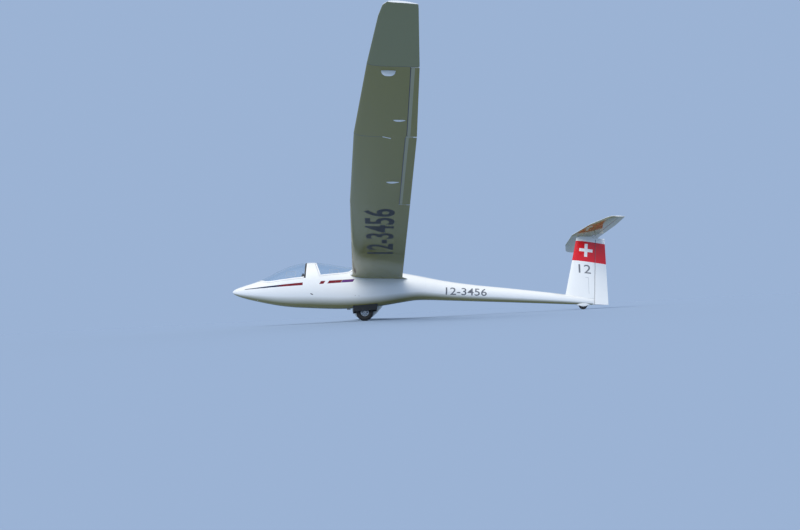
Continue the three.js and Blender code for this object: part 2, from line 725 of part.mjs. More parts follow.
function tail() {
  const tailSpan = TAILPLANE[TAILPLANE.length - 1].span;
  const elevatorHinge = () => ELEVATOR_HINGE_X;
  const elevatorCove = coveBetween({
    rows: mirroredTail,
    place: tailPlace,
    from: -ELEVATOR_HALF_SPAN - MOVING_GAP,
    to: ELEVATOR_HALF_SPAN + MOVING_GAP,
    hingeX: elevatorHinge,
  });
  const tailplane = surfaceLoft(mirroredTail, tailPlace, -tailSpan, tailSpan, 0);
  piece("tailplane", tailplane.subtract(elevatorCove), WHITE_GELCOAT);
  controlSurface({
    name: "elevator",
    rows: mirroredTail,
    place: tailPlace,
    from: -ELEVATOR_HALF_SPAN,
    to: ELEVATOR_HALF_SPAN,
    hingeX: elevatorHinge,
    pins: [-1, 1],
    pinRadius: HINGE_PIN,
  });

  const rudderCove = coveBetween({
    rows: finRows,
    place: finPlace,
    from: -300,
    to: RUDDER_TOP_Z + MOVING_GAP,
    hingeX: rudderHingeX,
  });
  const boomSkin = hull(BOOM_JOINT_X, 8240, -SEAT_GAP);
  const seat = TAILPLANE_SEAT_HALF;
  const tailSkin = surfaceLoft(mirroredTail, tailPlace, -seat, seat, SEAT_GAP);
  const behindTailplane = block(FIN_CAP_END_X, 8700, -200, 200, FIN_CAP_Z, 1800);
  const fin = surfaceLoft(finRows, finPlace, FIN_FOOT.z, TAILPLANE_Z, 0)
    .subtract(boomSkin)
    .subtract(tailSkin)
    .subtract(behindTailplane)
    .subtract(rudderCove)
    .subtract(block(FIN_FOOT.clearX, 8700, -200, 200, -200, FIN_FOOT.clearZ));
  piece("fin", fin, WHITE_GELCOAT);
  controlSurface({
    name: "rudder",
    rows: finRows,
    place: finPlace,
    from: RUDDER_BOTTOM_Z,
    to: RUDDER_TOP_Z,
    hingeX: rudderHingeX,
    pins: [1],
    pinRadius: RUDDER_PIN,
  });

  const { x, z, radius, width } = TAIL_WHEEL;
  const wide = width / 2 + TAIL_WHEEL_GAP;
  const round = radius + TAIL_WHEEL_GAP;
  const wheelRoom = bar(point(x, -wide, z), point(x, wide, z), round, 32).add(
    block(x - round, x + round, -wide, wide, z - 300, z),
  );
  const axleRoom = bar(point(x, -80, z), point(x, 80, z), TAIL_WHEEL.axle + SEAT_GAP, 20);
  const boom = hull(BOOM_JOINT_X + SEAT_GAP, BOOM_END_X, 0)
    .subtract(rudderCove)
    .subtract(wheelRoom)
    .subtract(axleRoom);
  piece("tail_boom", boom, WHITE_GELCOAT);
  const fairing = tailFairing()
    .subtract(hull(BOOM_JOINT_X, 8240, -SEAT_GAP))
    .subtract(wheelRoom)
    .subtract(axleRoom);
  piece("tail_wheel_fairing", fairing, WHITE_GELCOAT);
}

// A canoe-shaped blister under the end of the boom.
function tailFairing() {
  const { front, rear, half, middleZ, up, down } = TAIL_FAIRING;
  const rings = [];
  for (const { part, wide, deep } of TAIL_FAIRING_SHAPE) {
    const x = front + (rear - front) * part;
    const ring = [];
    for (let k = 0; k < 16; k++) {
      const angle = (k / 16) * 2 * Math.PI;
      const height = Math.cos(angle) > 0 ? up : down * deep;
      ring.push(point(x, Math.sin(angle) * half * wide, middleZ + Math.cos(angle) * height));
    }
    rings.push(ring);
  }
  return loft(rings);
}

// Wheels: a tyre with round shoulders over a spoked-rim section with a bore
function wheel(prefix, spec, hubHalf, segments) {
  const { x, z, radius, width, rim, axle } = spec;
  axes[prefix] = [point(x, 0, z), point(x, 1, z)];
  const w = width / 2;
  const tread = radius - rim;
  const tyre = [
    [rim + SEAT_GAP, -w * 0.62],
    [rim + tread * 0.3, -w * 0.94],
    [rim + tread * 0.6, -w],
    [rim + tread * 0.86, -w * 0.74],
    [radius, -w * 0.26],
    [radius, w * 0.26],
    [rim + tread * 0.86, w * 0.74],
    [rim + tread * 0.6, w],
    [rim + tread * 0.3, w * 0.94],
    [rim + SEAT_GAP, w * 0.62],
    [rim + SEAT_GAP, -w * 0.62],
  ];
  piece(prefix + "_tyre", turned(tyre, x, z, segments), TYRE_RUBBER);
  const bore = axle + SEAT_GAP;
  const hub = [
    [bore, -hubHalf],
    [bore + 14, -hubHalf],
    [bore + 16, -w * 0.3],
    [rim - 12, -w * 0.34],
    [rim - 8, -w * 0.6],
    [rim, -w * 0.6],
    [rim, w * 0.6],
    [rim - 8, w * 0.6],
    [rim - 12, w * 0.34],
    [bore + 16, w * 0.3],
    [bore + 14, hubHalf],
    [bore, hubHalf],
    [bore, -hubHalf],
  ];
  piece(prefix + "_hub", turned(hub, x, z, segments), WHEEL_ALUMINIUM);
}

function landingGear() {
  const { x, z, axle } = MAIN_WHEEL;
  wheel("main_wheel", MAIN_WHEEL, FORK.inner - SEAT_GAP, 32);
  piece(
    "main_wheel_axle",
    bar(point(x, -FORK.outer - AXLE_END, z), point(x, FORK.outer + AXLE_END, z), axle, 32),
    GEAR_STEEL,
  );
  const bore = bar(point(x, -200, z), point(x, 200, z), axle + SEAT_GAP, 32);
  const { inner, outer, bridge, shoulder, neck, foot } = FORK;
  const half = FORK.length / 2;
  const top = WHEEL_BAY.roof - SEAT_GAP;
  const legOutline = [
    [x - half, top],
    [x - half, top - shoulder],
    [x - neck, z + 40],
    [x - foot, z - foot],
    [x + foot, z - foot],
    [x + neck, z + 40],
    [x + half, top - shoulder],
    [x + half, top],
  ];
  const fork = slab(legOutline, inner, outer)
    .add(slab(legOutline, -outer, -inner))
    .add(block(x - half, x + half, -outer, outer, top - bridge, top))
    .subtract(bore);
  piece("main_gear_fork", fork, GEAR_STEEL);

  const belly = hull(2500, 3600, -SEAT_GAP);
  for (const [side, label] of [
    [-1, "port"],
    [1, "starboard"],
  ]) {
    const front = { x: WHEEL_BAY.front + DOOR.ends, z: hullHeight(WHEEL_BAY.front, WHEEL_BAY.half) };
    const rear = { x: WHEEL_BAY.rear - DOOR.ends, z: hullHeight(WHEEL_BAY.rear, WHEEL_BAY.half) };
    const outline = [
      [front.x, front.z + DOOR.above],
      [front.x, front.z - DOOR.height],
      [rear.x, rear.z - DOOR.height],
      [rear.x, rear.z + DOOR.above],
    ];
    const near = WHEEL_BAY.half + DOOR.gap;
    const far = near + DOOR.thick;
    const door = slab(outline, side < 0 ? -far : near, side < 0 ? -near : far);
    piece("main_gear_door_" + label, door.subtract(belly), DOOR_BLACK);
  }

  wheel("tail_wheel", TAIL_WHEEL, TAIL_WHEEL.width / 2 + 4, 20);
  const tailHalf = TAIL_FAIRING.half - 8;
  piece(
    "tail_wheel_axle",
    bar(
      point(TAIL_WHEEL.x, -tailHalf, TAIL_WHEEL.z),
      point(TAIL_WHEEL.x, tailHalf, TAIL_WHEEL.z),
      TAIL_WHEEL.axle,
      20,
    ),
    GEAR_STEEL,
  );
}

// Height of the hull's lower skin at a station and a distance from the middle.
function hullHeight(x, y) {
  const s = tableAt(HULL, "x", x, true);
  return s.waist - (s.waist - s.bottom) * Math.sqrt(1 - (y / s.half) ** 2);
}

function fuselage() {
  const shell = hull(0, BOOM_JOINT_X, 0)
    .add(rootFairing(1))
    .add(rootFairing(-1))
    .subtract(hull(COCKPIT_FRONT_X, COCKPIT_REAR_X, COCKPIT_WALL))
    .subtract(aboveEdge(FRONT_CANOPY_EDGE, 0))
    .subtract(aboveEdge(REAR_CANOPY_EDGE, 0))
    .subtract(wheelBay);
  piece("fuselage_shell", shell, WHITE_GELCOAT);
}

// A canopy: a frame that follows the sill and a clear bubble inside it.
function canopy({ label, edge, latches, hingeY }) {
  const [hingeFront, hingeRear] = latches;
  axes["canopy_" + label] = [
    point(hingeRear, hingeY, sillZ(hingeRear)),
    point(hingeFront, hingeY, sillZ(hingeFront)),
  ];
  const outer = hull(300, 3000, 0);
  const framed = outer.subtract(hull(310, 2990, CANOPY_FRAME_DEPTH));
  const glazed = outer.subtract(hull(310, 2990, CANOPY_GLASS));
  const lid = aboveEdge(edge, MOVING_GAP);
  const pane = aboveEdge(edge, MOVING_GAP + CANOPY_FRAME_WIDTH);
  let frame = framed.intersect(lid.subtract(pane));
  // Pads on the port side, at the latches, bridge the gap to the sill.
  const rest = aboveEdge(edge, SEAT_GAP);
  const reach = LATCH_PAD / 2;
  for (const x of latches) {
    const z = sillZ(x);
    const window = block(x - reach, x + reach, -BESIDE_HULL, 0, z - reach, z + reach);
    frame = frame.add(framed.intersect(rest).intersect(window));
  }
  piece("canopy_frame_" + label, frame, WHITE_GELCOAT);
  const inside = aboveEdge(edge, MOVING_GAP + CANOPY_FRAME_WIDTH + SEAT_GAP);
  piece("canopy_glass_" + label, glazed.intersect(inside), CLEAR_CANOPY);
}

// Cockpit furniture, cut to the inside of the shell
const COCKPIT_ROOM = hull(COCKPIT_FRONT_X + 1, COCKPIT_REAR_X - 1, COCKPIT_WALL + SEAT_GAP);

// A seat shell on its stand, its cushion and its headrest.
function seat({ label, front, foot, head, frontZ, footZ, headZ }) {
  const under = [
    [front, frontZ],
    [foot - 40, footZ],
    [foot + 20, footZ + 40],
    [head, headZ],
  ];
  const over = insetPath(under, SEAT_THICK);
  const wide = SEAT_HALF + SEAT_EDGE;
  const shell = slab([...under, ...over.reverse()], -wide, wide);
  const longer = [...under.slice(0, 3), [head + 0.5, headZ + 1]];
  const shellRoom = slab(
    [
      ...insetPath(longer, -SEAT_GAP),
      ...insetPath(longer, SEAT_THICK + SEAT_GAP).reverse(),
    ],
    -wide,
    wide,
  );
  // The pan stands on a box that widens to the floor.
  const stand = slab(
    [
      [front + 20, BELOW_FLOOR],
      [foot - 20, BELOW_FLOOR],
      [foot - 20, footZ + 2],
      [front + 20, frontZ - 2],
    ],
    -SEAT_HALF,
    SEAT_HALF,
  );
  piece("seat_" + label, shell.add(stand).intersect(COCKPIT_ROOM), SEAT_SHELL);
  const low = insetPath(under, SEAT_THICK + SEAT_GAP);
  const high = insetPath(under, SEAT_THICK + CUSHION_THICK);
  const top = headZ + HEADREST.low;
  const half = SEAT_HALF - CUSHION_EDGE;
  const belowHead = block(front - 100, head + 200, -half - 1, half + 1, BELOW_FLOOR, top - 1);
  const cushion = slab([...low, ...high.reverse()], -half, half)
    .intersect(belowHead)
    .intersect(COCKPIT_ROOM);
  piece("seat_cushion_" + label, cushion, SEAT_CLOTH);
  const rest = slab(
    [
      [head + HEADREST.front, top],
      [head + HEADREST.back, top],
      [head + HEADREST.topBack, headZ + HEADREST_TOP.back],
      [head + HEADREST.topFront, headZ + HEADREST_TOP.front],
    ],
    -HEADREST.half,
    HEADREST.half,
  );
  piece("headrest_" + label, rest.subtract(shellRoom), SEAT_CLOTH);
}

// A hooded panel on a pedestal.
function instrumentConsole({ label, face, back, low, high, half }) {
  const hood = slab(
    [
      [back, low + 30],
      [face + PANEL_LEAN, low],
      [face, high - 14],
      [face - 12, high],
      [back, high - 60],
    ],
    -half,
    half,
  );
  const pedestal = slab(
    [
      [back + PEDESTAL.front, BELOW_FLOOR],
      [back + PEDESTAL.rear, BELOW_FLOOR],
      [back + PEDESTAL.rear, low + 60],
      [back + PEDESTAL.front, low + 60],
    ],
    -PEDESTAL.half,
    PEDESTAL.half,
  );
  piece("instrument_console_" + label, hood.add(pedestal).intersect(COCKPIT_ROOM), PANEL_BLACK);
  const middle = point(face + PANEL_LEAN / 2, 0, (low + high - 14) / 2);
  const normal = point(high - 14 - low, 0, PANEL_LEAN).normalize();
  mountFaces["instrument_panel_" + label] = [middle, middle.clone().add(normal)];
}

// A rod that leans aft, with a grip on top, out of a box on the floor.
function stick({ label, x, footZ, rise }) {
  const { radius, lean, grip, gripBelow, gripAbove } = STICK;
  const top = footZ + rise;
  const gripStart = point(x + lean - 4, 0, top - gripBelow);
  const gripEnd = point(x + lean + 4, 0, top + gripAbove);
  const { front, half } = STICK_BOX;
  const solid = bar(point(x, 0, footZ), point(x + lean, 0, top), radius, 12)
    .add(bar(gripStart, gripEnd, grip, 12))
    .add(block(x - front, x + front, -half, half, BELOW_FLOOR, footZ + STICK_BOX.rise))
    .intersect(COCKPIT_ROOM);
  piece("control_stick_" + label, solid, PANEL_BLACK);
}

function pedals() {
  const { front, rear, half, top } = PEDAL_BAR;
  const footBar = block(front, rear, -half, half, BELOW_FLOOR, top);
  piece("rudder_pedals_front", footBar.intersect(COCKPIT_ROOM), GREY_LINING);
}

function towRelease() {
  const { front, rear, half, drop } = TOW_RELEASE;
  const low = hullHeight((front + rear) / 2, 0) - drop;
  const solid = block(front, rear, -half, half, low, low + 100).subtract(
    hull(2400, 2800, -SEAT_GAP),
  );
  piece("tow_release", solid, GEAR_STEEL);
  const middle = point((front + rear) / 2, 0, low);
  mountFaces.tow_release = [middle, middle.clone().add(point(0, 0, -1))];
}

fuselage();
CANOPIES.forEach(canopy);
SEATS.forEach(seat);
CONSOLES.forEach(instrumentConsole);
STICKS.forEach(stick);
pedals();
wing(-1, "port");
wing(1, "starboard");
tail();
landingGear();
towRelease();

// Onto the ground: pitched about Y, then rolled about X, and set on the floor
glider.rotation.set(-radians(PARKED_ROLL), radians(PARKED_PITCH), 0, "XYZ");
const parked = new THREE.Group();
parked.add(glider);
parked.updateMatrixWorld(true);
const box = new THREE.Box3().setFromObject(parked, true);
glider.position.set(-(box.min.x + box.max.x) / 2, -(box.min.y + box.max.y) / 2, -box.min.z);
glider.updateMatrixWorld(true);
for (const line of [...Object.values(axes), ...Object.values(mountFaces)]) {
  line.splice(0, 2, ...line.map((end) => end.clone().applyMatrix4(glider.matrixWorld)));
}
parked.userData = { axes, mountFaces };

export default parked;
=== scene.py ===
"""Dresses the frame of a two-seat sailplane: skins, canopies, cockpit, markings and wheels.

Lengths are metres. Shapes are worked out level, with X aft from the nose tip, Y to starboard
and Z up, and are then turned onto the floor as the frame stands: on main wheel, tail wheel and
starboard tip skid.
"""

import json
from math import cos, pi, radians, sin, tan

import bmesh
import bpy
import numpy as np
from bpy.props import FloatProperty, FloatVectorProperty, PointerProperty
from mathutils import Matrix, Vector
from mathutils.bvhtree import BVHTree


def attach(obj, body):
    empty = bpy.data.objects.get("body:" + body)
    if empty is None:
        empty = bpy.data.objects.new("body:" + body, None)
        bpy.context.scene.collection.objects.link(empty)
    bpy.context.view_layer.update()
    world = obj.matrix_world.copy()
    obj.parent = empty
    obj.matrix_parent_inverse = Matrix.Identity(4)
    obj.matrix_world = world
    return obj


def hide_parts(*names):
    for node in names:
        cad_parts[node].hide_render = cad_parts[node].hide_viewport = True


bl_info = {
    "name": "Two-seat sailplane",
    "version": (1, 0, 0),
    "blender": (4, 5, 0),
    "location": "View3D > Sidebar > Sailplane",
    "description": "Skins, canopies, cockpit, markings and wheels of a two-seat sailplane",
    "category": "Object",
}

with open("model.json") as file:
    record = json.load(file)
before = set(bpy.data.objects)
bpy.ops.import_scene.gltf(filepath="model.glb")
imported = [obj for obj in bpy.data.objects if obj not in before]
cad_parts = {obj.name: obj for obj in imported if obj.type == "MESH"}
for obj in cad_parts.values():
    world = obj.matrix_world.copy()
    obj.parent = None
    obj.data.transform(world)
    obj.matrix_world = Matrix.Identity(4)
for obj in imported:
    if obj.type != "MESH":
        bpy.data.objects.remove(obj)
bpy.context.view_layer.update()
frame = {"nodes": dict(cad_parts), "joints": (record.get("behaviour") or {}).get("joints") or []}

# Parked attitude, and where the level layout's nose tip then lies
PARKED_PITCH = radians(4.61)
PARKED_ROLL = radians(8.46)
MAIN_AXLE = np.array([2.960, 0.0, -0.370])
TAIL_AXLE = np.array([7.970, 0.0, -0.058])
TURN = np.array(Matrix.Rotation(-PARKED_ROLL, 3, "X") @ Matrix.Rotation(PARKED_PITCH, 3, "Y"))
MAIN_SPIN = next(joint for joint in frame["joints"] if joint["name"] == "main_wheel_spin")
NOSE_TIP = np.array(MAIN_SPIN["pos_m"]) - TURN @ MAIN_AXLE
SIDES = ((-1, "port"), (1, "starboard"))

# Fuselage sections: x, half width, top, bottom, height of the widest line
HULL = np.array([
    (0.000, 0.010, 0.010, -0.010, 0.000),
    (0.030, 0.044, 0.045, -0.043, 0.001),
    (0.090, 0.080, 0.082, -0.076, 0.003),
    (0.260, 0.138, 0.150, -0.131, 0.010),
    (0.530, 0.202, 0.252, -0.190, 0.030),
    (0.800, 0.256, 0.392, -0.238, 0.072),
    (1.070, 0.304, 0.545, -0.276, 0.118),
    (1.350, 0.338, 0.663, -0.298, 0.150),
    (1.700, 0.360, 0.730, -0.306, 0.168),
    (2.050, 0.364, 0.716, -0.309, 0.172),
    (2.420, 0.360, 0.664, -0.304, 0.176),
    (2.850, 0.352, 0.632, -0.272, 0.190),
    (3.300, 0.334, 0.602, -0.214, 0.210),
    (3.750, 0.308, 0.560, -0.126, 0.226),
    (4.100, 0.282, 0.512, -0.062, 0.228),
    (4.400, 0.254, 0.462, -0.046, 0.208),
    (4.800, 0.219, 0.400, -0.045, 0.178),
    (5.400, 0.190, 0.336, -0.046, 0.145),
    (6.200, 0.163, 0.282, -0.046, 0.118),
    (7.000, 0.136, 0.224, -0.048, 0.088),
    (7.600, 0.110, 0.172, -0.050, 0.060),
    (8.000, 0.074, 0.138, -0.048, 0.042),
    (8.240, 0.044, 0.112, -0.044, 0.034),
])
BOOM_JOINT_X = 4.300
BOOM_END_X = 8.215
COCKPIT_WALL = 0.018
COCKPIT_FRONT_X = 0.420
COCKPIT_REAR_X = 2.660

# Canopies
SILL_START = (0.800, 0.192)
SILL_SLOPE = 0.148
CANOPY_TIP = (0.530, 0.252)
ARCH_FRONT_X = 1.630
ARCH_REAR_BASE_X = 1.930
ARCH_REAR_TOP = (1.780, 0.760)
CANOPY_FRAME_WIDTH = 0.030
CANOPY_FRAME_DEPTH = 0.020
CANOPY_GLASS = 0.005
VENTS = {"front": ((1.190, 0.335), (1.400, 0.455)), "rear": ((2.140, 0.450), (2.350, 0.545))}
LATCHES = {"front": 1.480, "rear": 2.080}
ABOVE_ALL = 1.100
MOVING_GAP = 0.005
SEAT_GAP = 0.0003

# Wing sections: y, leading edge x, chord, height of the quarter chord, thickness ratio, camber
WING = np.array([
    (0.360, 2.650, 1.120, 0.420, 0.150, 0.028),
    (4.960, 2.600, 0.970, 0.661, 0.148, 0.028),
    (7.400, 2.650, 0.810, 0.789, 0.145, 0.028),
    (9.050, 2.780, 0.560, 0.875, 0.140, 0.028),
    (9.800, 2.870, 0.391, 0.967, 0.120, 0.028),
    (9.950, 2.905, 0.340, 0.986, 0.105, 0.028),
    (10.000, 2.950, 0.288, 0.992, 0.070, 0.028),
])
WING_INCIDENCE = radians(2.5)
WING_ROOT_Y = 0.420
PANEL_JOINT_Y = 7.400
TIP_JOINT_Y = 9.050
WING_TIP_Y = 10.000
TRAILING_EDGE = 0.003
TOP_SKIN, LOWER_SKIN = 0, 1

# Root fairing: y, extra chord ahead, extra chord behind, growth of thickness
ROOT_FAIRING = np.array([
    (0.180, 0.130, 0.190, 1.50),
    (0.300, 0.060, 0.095, 1.28),
    (0.345, 0.026, 0.042, 1.12),
    (0.385, 0.008, 0.012, 1.03),
    (WING_ROOT_Y, 0.000, 0.000, 1.00),
])

# Wing panels: name, both ends; the aileron's ends and its hinge as a chord fraction; the horn
# fairing's span, the chord fraction where it ends, and its length
PANELS = (
    ("inner", WING_ROOT_Y, PANEL_JOINT_Y, (4.960, 7.390, 0.83), (5.900, 0.795, 0.190)),
    ("outer", PANEL_JOINT_Y, TIP_JOINT_Y, (7.410, 9.040, 0.85), (7.850, 0.815, 0.150)),
)

# Tailplane sections from tip to tip, with the same columns as the wing's
TAILPLANE_Z = 1.600
HALF_TAILPLANE = np.array([
    (0.000, 7.770, 0.682, TAILPLANE_Z, 0.110, 0.0),
    (0.940, 7.890, 0.580, TAILPLANE_Z, 0.110, 0.0),
    (1.500, 8.068, 0.370, TAILPLANE_Z, 0.105, 0.0),
    (1.600, 8.120, 0.310, TAILPLANE_Z, 0.100, 0.0),
    (1.640, 8.190, 0.235, TAILPLANE_Z, 0.070, 0.0),
])
TAILPLANE = np.vstack([HALF_TAILPLANE[:0:-1] * (-1, 1, 1, 1, 1, 1), HALF_TAILPLANE])
ELEVATOR_HINGE_X = 8.305
ELEVATOR_HALF_SPAN = 1.570

# Fin and rudder sections, with z for the span and no height
FIN = np.array([
    (-0.060, 7.519, 1.052, 0.0, 0.120, 0.0),
    (0.400, 7.621, 0.944, 0.0, 0.118, 0.0),
    (1.000, 7.755, 0.802, 0.0, 0.114, 0.0),
    (1.640, 7.898, 0.650, 0.0, 0.110, 0.0),
])
RUDDER_HINGE = (8.240, 8.330)
RUDDER_SPAN = (-0.040, 1.495)
FIN_CAP_Z = 1.535

# Landing gear; the hubs' round holes are given by their number and how far out they lie
WHEEL_BAY = {"front": 2.690, "rear": 3.240, "half": 0.135, "roof": -0.010}
WHEELS = {
    "main_wheel": {
        "axle": MAIN_AXLE, "radius": 0.190, "width": 0.150, "rim": 0.092, "bore": 0.0123,
        "hub": 0.0897, "holes": (8, 0.60),
    },
    "tail_wheel": {
        "axle": TAIL_AXLE, "radius": 0.100, "width": 0.050, "rim": 0.046, "bore": 0.0083,
        "hub": 0.029, "holes": (5, 0.62),
    },
}
RIM_BOLTS = 6
TREAD_GROOVES = (0.13, 0.40)
TAIL_WHEEL_GAP = 0.006
TOW_RELEASE = {"front": 2.560, "rear": 2.640, "half": 0.022, "drop": 0.026}
TIP_SKID = {"y": 8.960, "chord": 0.42, "length": 0.170, "width": 0.026, "drop": 0.062}

# Tail wheel fairing: share of the length, of the half width and of the depth
TAIL_FAIRING = {"front": 7.780, "rear": 8.150, "half": 0.052, "middle": -0.020, "down": 0.092}
TAIL_FAIRING_SHAPE = np.array([
    (0.00, 0.20, 0.10),
    (0.12, 0.60, 0.50),
    (0.30, 0.92, 0.90),
    (0.50, 1.00, 1.00),
    (0.70, 0.90, 0.92),
    (0.88, 0.60, 0.55),
    (1.00, 0.20, 0.10),
])

# Airbrakes, out of the top skin: a perforated blade under a cap
BRAKE = {"start": 2.600, "end": 3.900, "chord": 0.52, "blade": 0.008, "height": 0.096}
BRAKE_CAP = {"width": 0.030, "depth": 0.004}
BRAKE_HOLES = {"count": 26, "pitch": 0.048, "down": 0.060, "radius": 0.0125}

# Seats: x and height of the pan's front edge and of the backrest's foot and head
SEATS = {
    "front": {"pan": (1.010, -0.120), "foot": (1.290, -0.190), "head": (1.545, 0.360)},
    "rear": {"pan": (1.960, -0.120), "foot": (2.330, -0.190), "head": (2.560, 0.380)},
}
SEAT_THICK = 0.014
CUSHION_THICK = 0.045
CUSHION_HALF = 0.212
CUSHION_BELOW_HEAD = 0.045
SWELL_BELOW, SWELL_ABOVE = 0.006, 0.008
SEAMS_ALONG = (0.16, 0.32, 0.48, 0.64, 0.80)
SEAMS_ACROSS = (-0.105, 0.105)

# Harness: width and thickness of a strap, and how far the buckle lies ahead of the seat's foot
STRAP = (0.044, 0.0022)
BUCKLE_AHEAD = 0.075

# Instrument consoles: x of the panel's upper edge, its lower and upper height
CONSOLES = {"front": (0.905, 0.020, 0.248), "rear": (1.800, 0.150, 0.426)}
PANEL_LEAN = 0.022

# Dials on a panel: x to starboard, y up the panel, radius, pointer angle, most figure, ticks
DIALS = {
    "front": [
        (-0.092, 0.062, 0.036, 200, 5, 36),
        (0.000, 0.062, 0.036, 60, 10, 50),
        (0.092, 0.062, 0.036, 0, 5, 20),
        (-0.070, -0.030, 0.026, 130, 4, 24),
        (0.070, -0.030, 0.026, 20, 6, 24),
    ],
    "rear": [
        (-0.100, 0.070, 0.036, 200, 5, 36),
        (0.000, 0.070, 0.036, 60, 10, 50),
        (0.100, 0.070, 0.036, 0, 5, 20),
        (-0.075, -0.030, 0.026, 130, 4, 24),
    ],
}
DISPLAYS = {"front": (0.0, -0.035, 0.062, 0.030), "rear": (0.045, -0.035, 0.066, 0.034)}

# Control sticks: x and z of the foot, height. Side levers: the x that each seat's levers are
# measured from; their name, side, distance aft of it, length, height, finish
STICKS = {"front": (0.962, -0.232, 0.300), "rear": (1.905, -0.286, 0.350)}
STICK_LEAN = 0.030
LEVER_STARTS = {"front": 1.02, "rear": 2.02}
LEVERS = (
    ("airbrake_lever", -1, 0.10, 0.26, 0.085, "knob_blue"),
    ("trim_lever", -1, 0.20, 0.12, -0.005, "knob_green"),
    ("gear_lever", 1, 0.16, 0.18, 0.06, "ink"),
)

# Nose stripe: where it starts and ends, rise and widening per metre, half height at its start,
# and where it turns red; then the blocks behind the arch, each from x to x
STRIPE_START = (0.280, 0.046)
STRIPE_END_X = 1.570
STRIPE_RISE = 0.0996
STRIPE_HALF = 0.007
STRIPE_WIDENING = 0.019
STRIPE_TURN = {"x": 1.06, "edge": 0.18}
STRIPE_BLOCKS = (
    (1.950, 2.045, "stripe_red"),
    (2.130, 2.425, "stripe_red"),
    (2.430, 2.690, "violet"),
)
BLOCK_LEAN = 0.6
BLOCK_HALF = 0.033
HOOP_X = 1.589

# Where the dark line over the panel joint ends, as x, and the pale mark on its end; spans of the
# painted light that shows through the gaps at the trailing edge; width of the dark lines along the
# hinges
JOINT_LINE_END_X = 3.020
PALE_MARK = {"x": 3.02, "length": 0.11, "width": 0.016, "lean": 0.45}
GAP_LIGHT_TICKS = (4.960, 7.400, 9.050)
HINGE_LINE_WIDTH = 0.012

# Figures: text, height, length, weight, where the line starts, finish. Then the foot of their
# lines: ahead of the wing's trailing edge, the height on the boom, and the height on the fin at
# an x, with the fall aft
FIGURES = {
    "wing_port": ("12-3456", 0.52, 2.56, 0.022, 2.200, "ink"),
    "wing_starboard": ("12", 0.52, 0.75, 0.022, 3.030, "ink"),
    "boom_port": ("12-3456", 0.165, 0.94, 0.008, 4.765, "ink_grey"),
    "boom_starboard": ("12-3456", 0.165, 0.94, 0.008, 5.705, "ink_grey"),
    "fin_port": ("12", 0.205, 0.29, 0.002, 7.887, "ink_grey"),
    "fin_starboard": ("12", 0.205, 0.29, 0.002, 8.174, "ink_grey"),
}
WING_FIGURES = {"spans": (2.2, 4.8), "ahead": 0.235}
BOOM_FIGURES_Z = 0.055
FIN_FIGURES = {"z": 0.682, "x": 8.03, "fall": 0.07}

# Small openings on the hull: piece, x, z, radius, stretch, lean
PORTS = (
    ("vent", 1.775, -0.045, 0.011, 3.2, -0.35),
    ("port_front", 2.735, -0.045, 0.006, 1.0, 0.0),
    ("port_rear", 2.820, -0.050, 0.006, 1.0, 0.0),
)

# Where the camera stands: degrees to port of abeam, metres from the middle station, and above
# the floor; the lens, and how far it looks up and is rolled, so that the hull lies as it should
PHOTO_WIDTH = 800
CAMERA = {
    "azimuth": -4.5,
    "distance": 16.2,
    "height": 0.12,
    "focal": 713.0,
    "tilt": 3.9,
    "roll": -3.0,
    "station": 3.78,
}

# Key light; the sky's colours overhead and of the glow, each with the heights or cosines between
# which it fades in; ways are those that the light travels. Then the light on the open floor,
# over pi, by colour, and how far the floor reaches
KEY = {"way": (0.40, 0.75, -0.68), "energy": 1.95, "spread": 44, "colour": (1.0, 0.975, 0.94)}
OVERHEAD = {"colour": (0.58, 0.61, 0.66), "fade": (0.42, 0.80)}
GLOW = {"way": (0.26, 0.42, -0.87), "colour": (2.0, 1.96, 1.88), "fade": (-0.85, -1.06)}
FLOOR_LIGHT = (0.992, 1.040, 1.124)
FLOOR_REACH = 600.0

ABOUT_X = np.array([[0, 1.0, 0], [0, 0, 1], [1, 0, 0]])
ABOUT_Y = np.array([[1.0, 0, 0], [0, 0, 1], [0, 1, 0]])
ABOUT_Z = np.eye(3)


def parked(points):
    """Level points turned and moved onto the floor."""
    return np.asarray(points) @ TURN.T + NOSE_TIP


def unit(vectors):
    return vectors / np.linalg.norm(vectors, axis=-1, keepdims=True)


def left_of(along):
    """Unit directions to the left of flat ones."""
    return unit(np.stack([-along[:, 1], along[:, 0]], 1))


def smooth_columns(rows, at):
    """Columns of a table between its rows: a cubic through each pair of rows, whose slope at a
    row is that of the chord from the row before to the row after."""
    at = np.atleast_1d(np.asarray(at, float))
    i = np.clip(np.searchsorted(rows[:, 0], at, side="right") - 1, 0, len(rows) - 2)
    p, q = rows[i], rows[i + 1]
    before, after = rows[np.maximum(i - 1, 0)], rows[np.minimum(i + 2, len(rows) - 1)]
    width = (q[:, 0] - p[:, 0])[:, None]
    t = (at[:, None] - p[:, :1]) / width
    slope_p = (q - before) / (q[:, :1] - before[:, :1]) * width
    slope_q = (after - p) / (after[:, :1] - p[:, :1]) * width
    return (
        p * (2 * t**3 - 3 * t**2 + 1)
        + slope_p * (t**3 - 2 * t**2 + t)
        + q * (3 * t**2 - 2 * t**3)
        + slope_q * (t**3 - t**2)
    )


def smoothed(points, count):
    """A smooth path through points: cubics whose slopes come from the points on both sides."""
    rows = np.column_stack([np.arange(len(points)), points]).astype(float)
    return smooth_columns(rows, np.linspace(0, len(points) - 1, count))[:, 1:]


def straight_columns(rows, at):
    """Columns of a table between its rows, in straight lines."""
    at = np.atleast_1d(np.asarray(at, float))
    return np.stack([np.interp(at, rows[:, 0], column) for column in rows.T], 1)


def line_through(y0, y1, x0, x1):
    """Slope and foot of the straight line x = slope times y plus foot."""
    slope = (x1 - x0) / (y1 - y0)
    return slope, x0 - slope * y0


# Meshes


def linked(data):
    """A new object in the scene."""
    piece = bpy.data.objects.new("piece", data)
    bpy.context.scene.collection.objects.link(piece)
    return piece


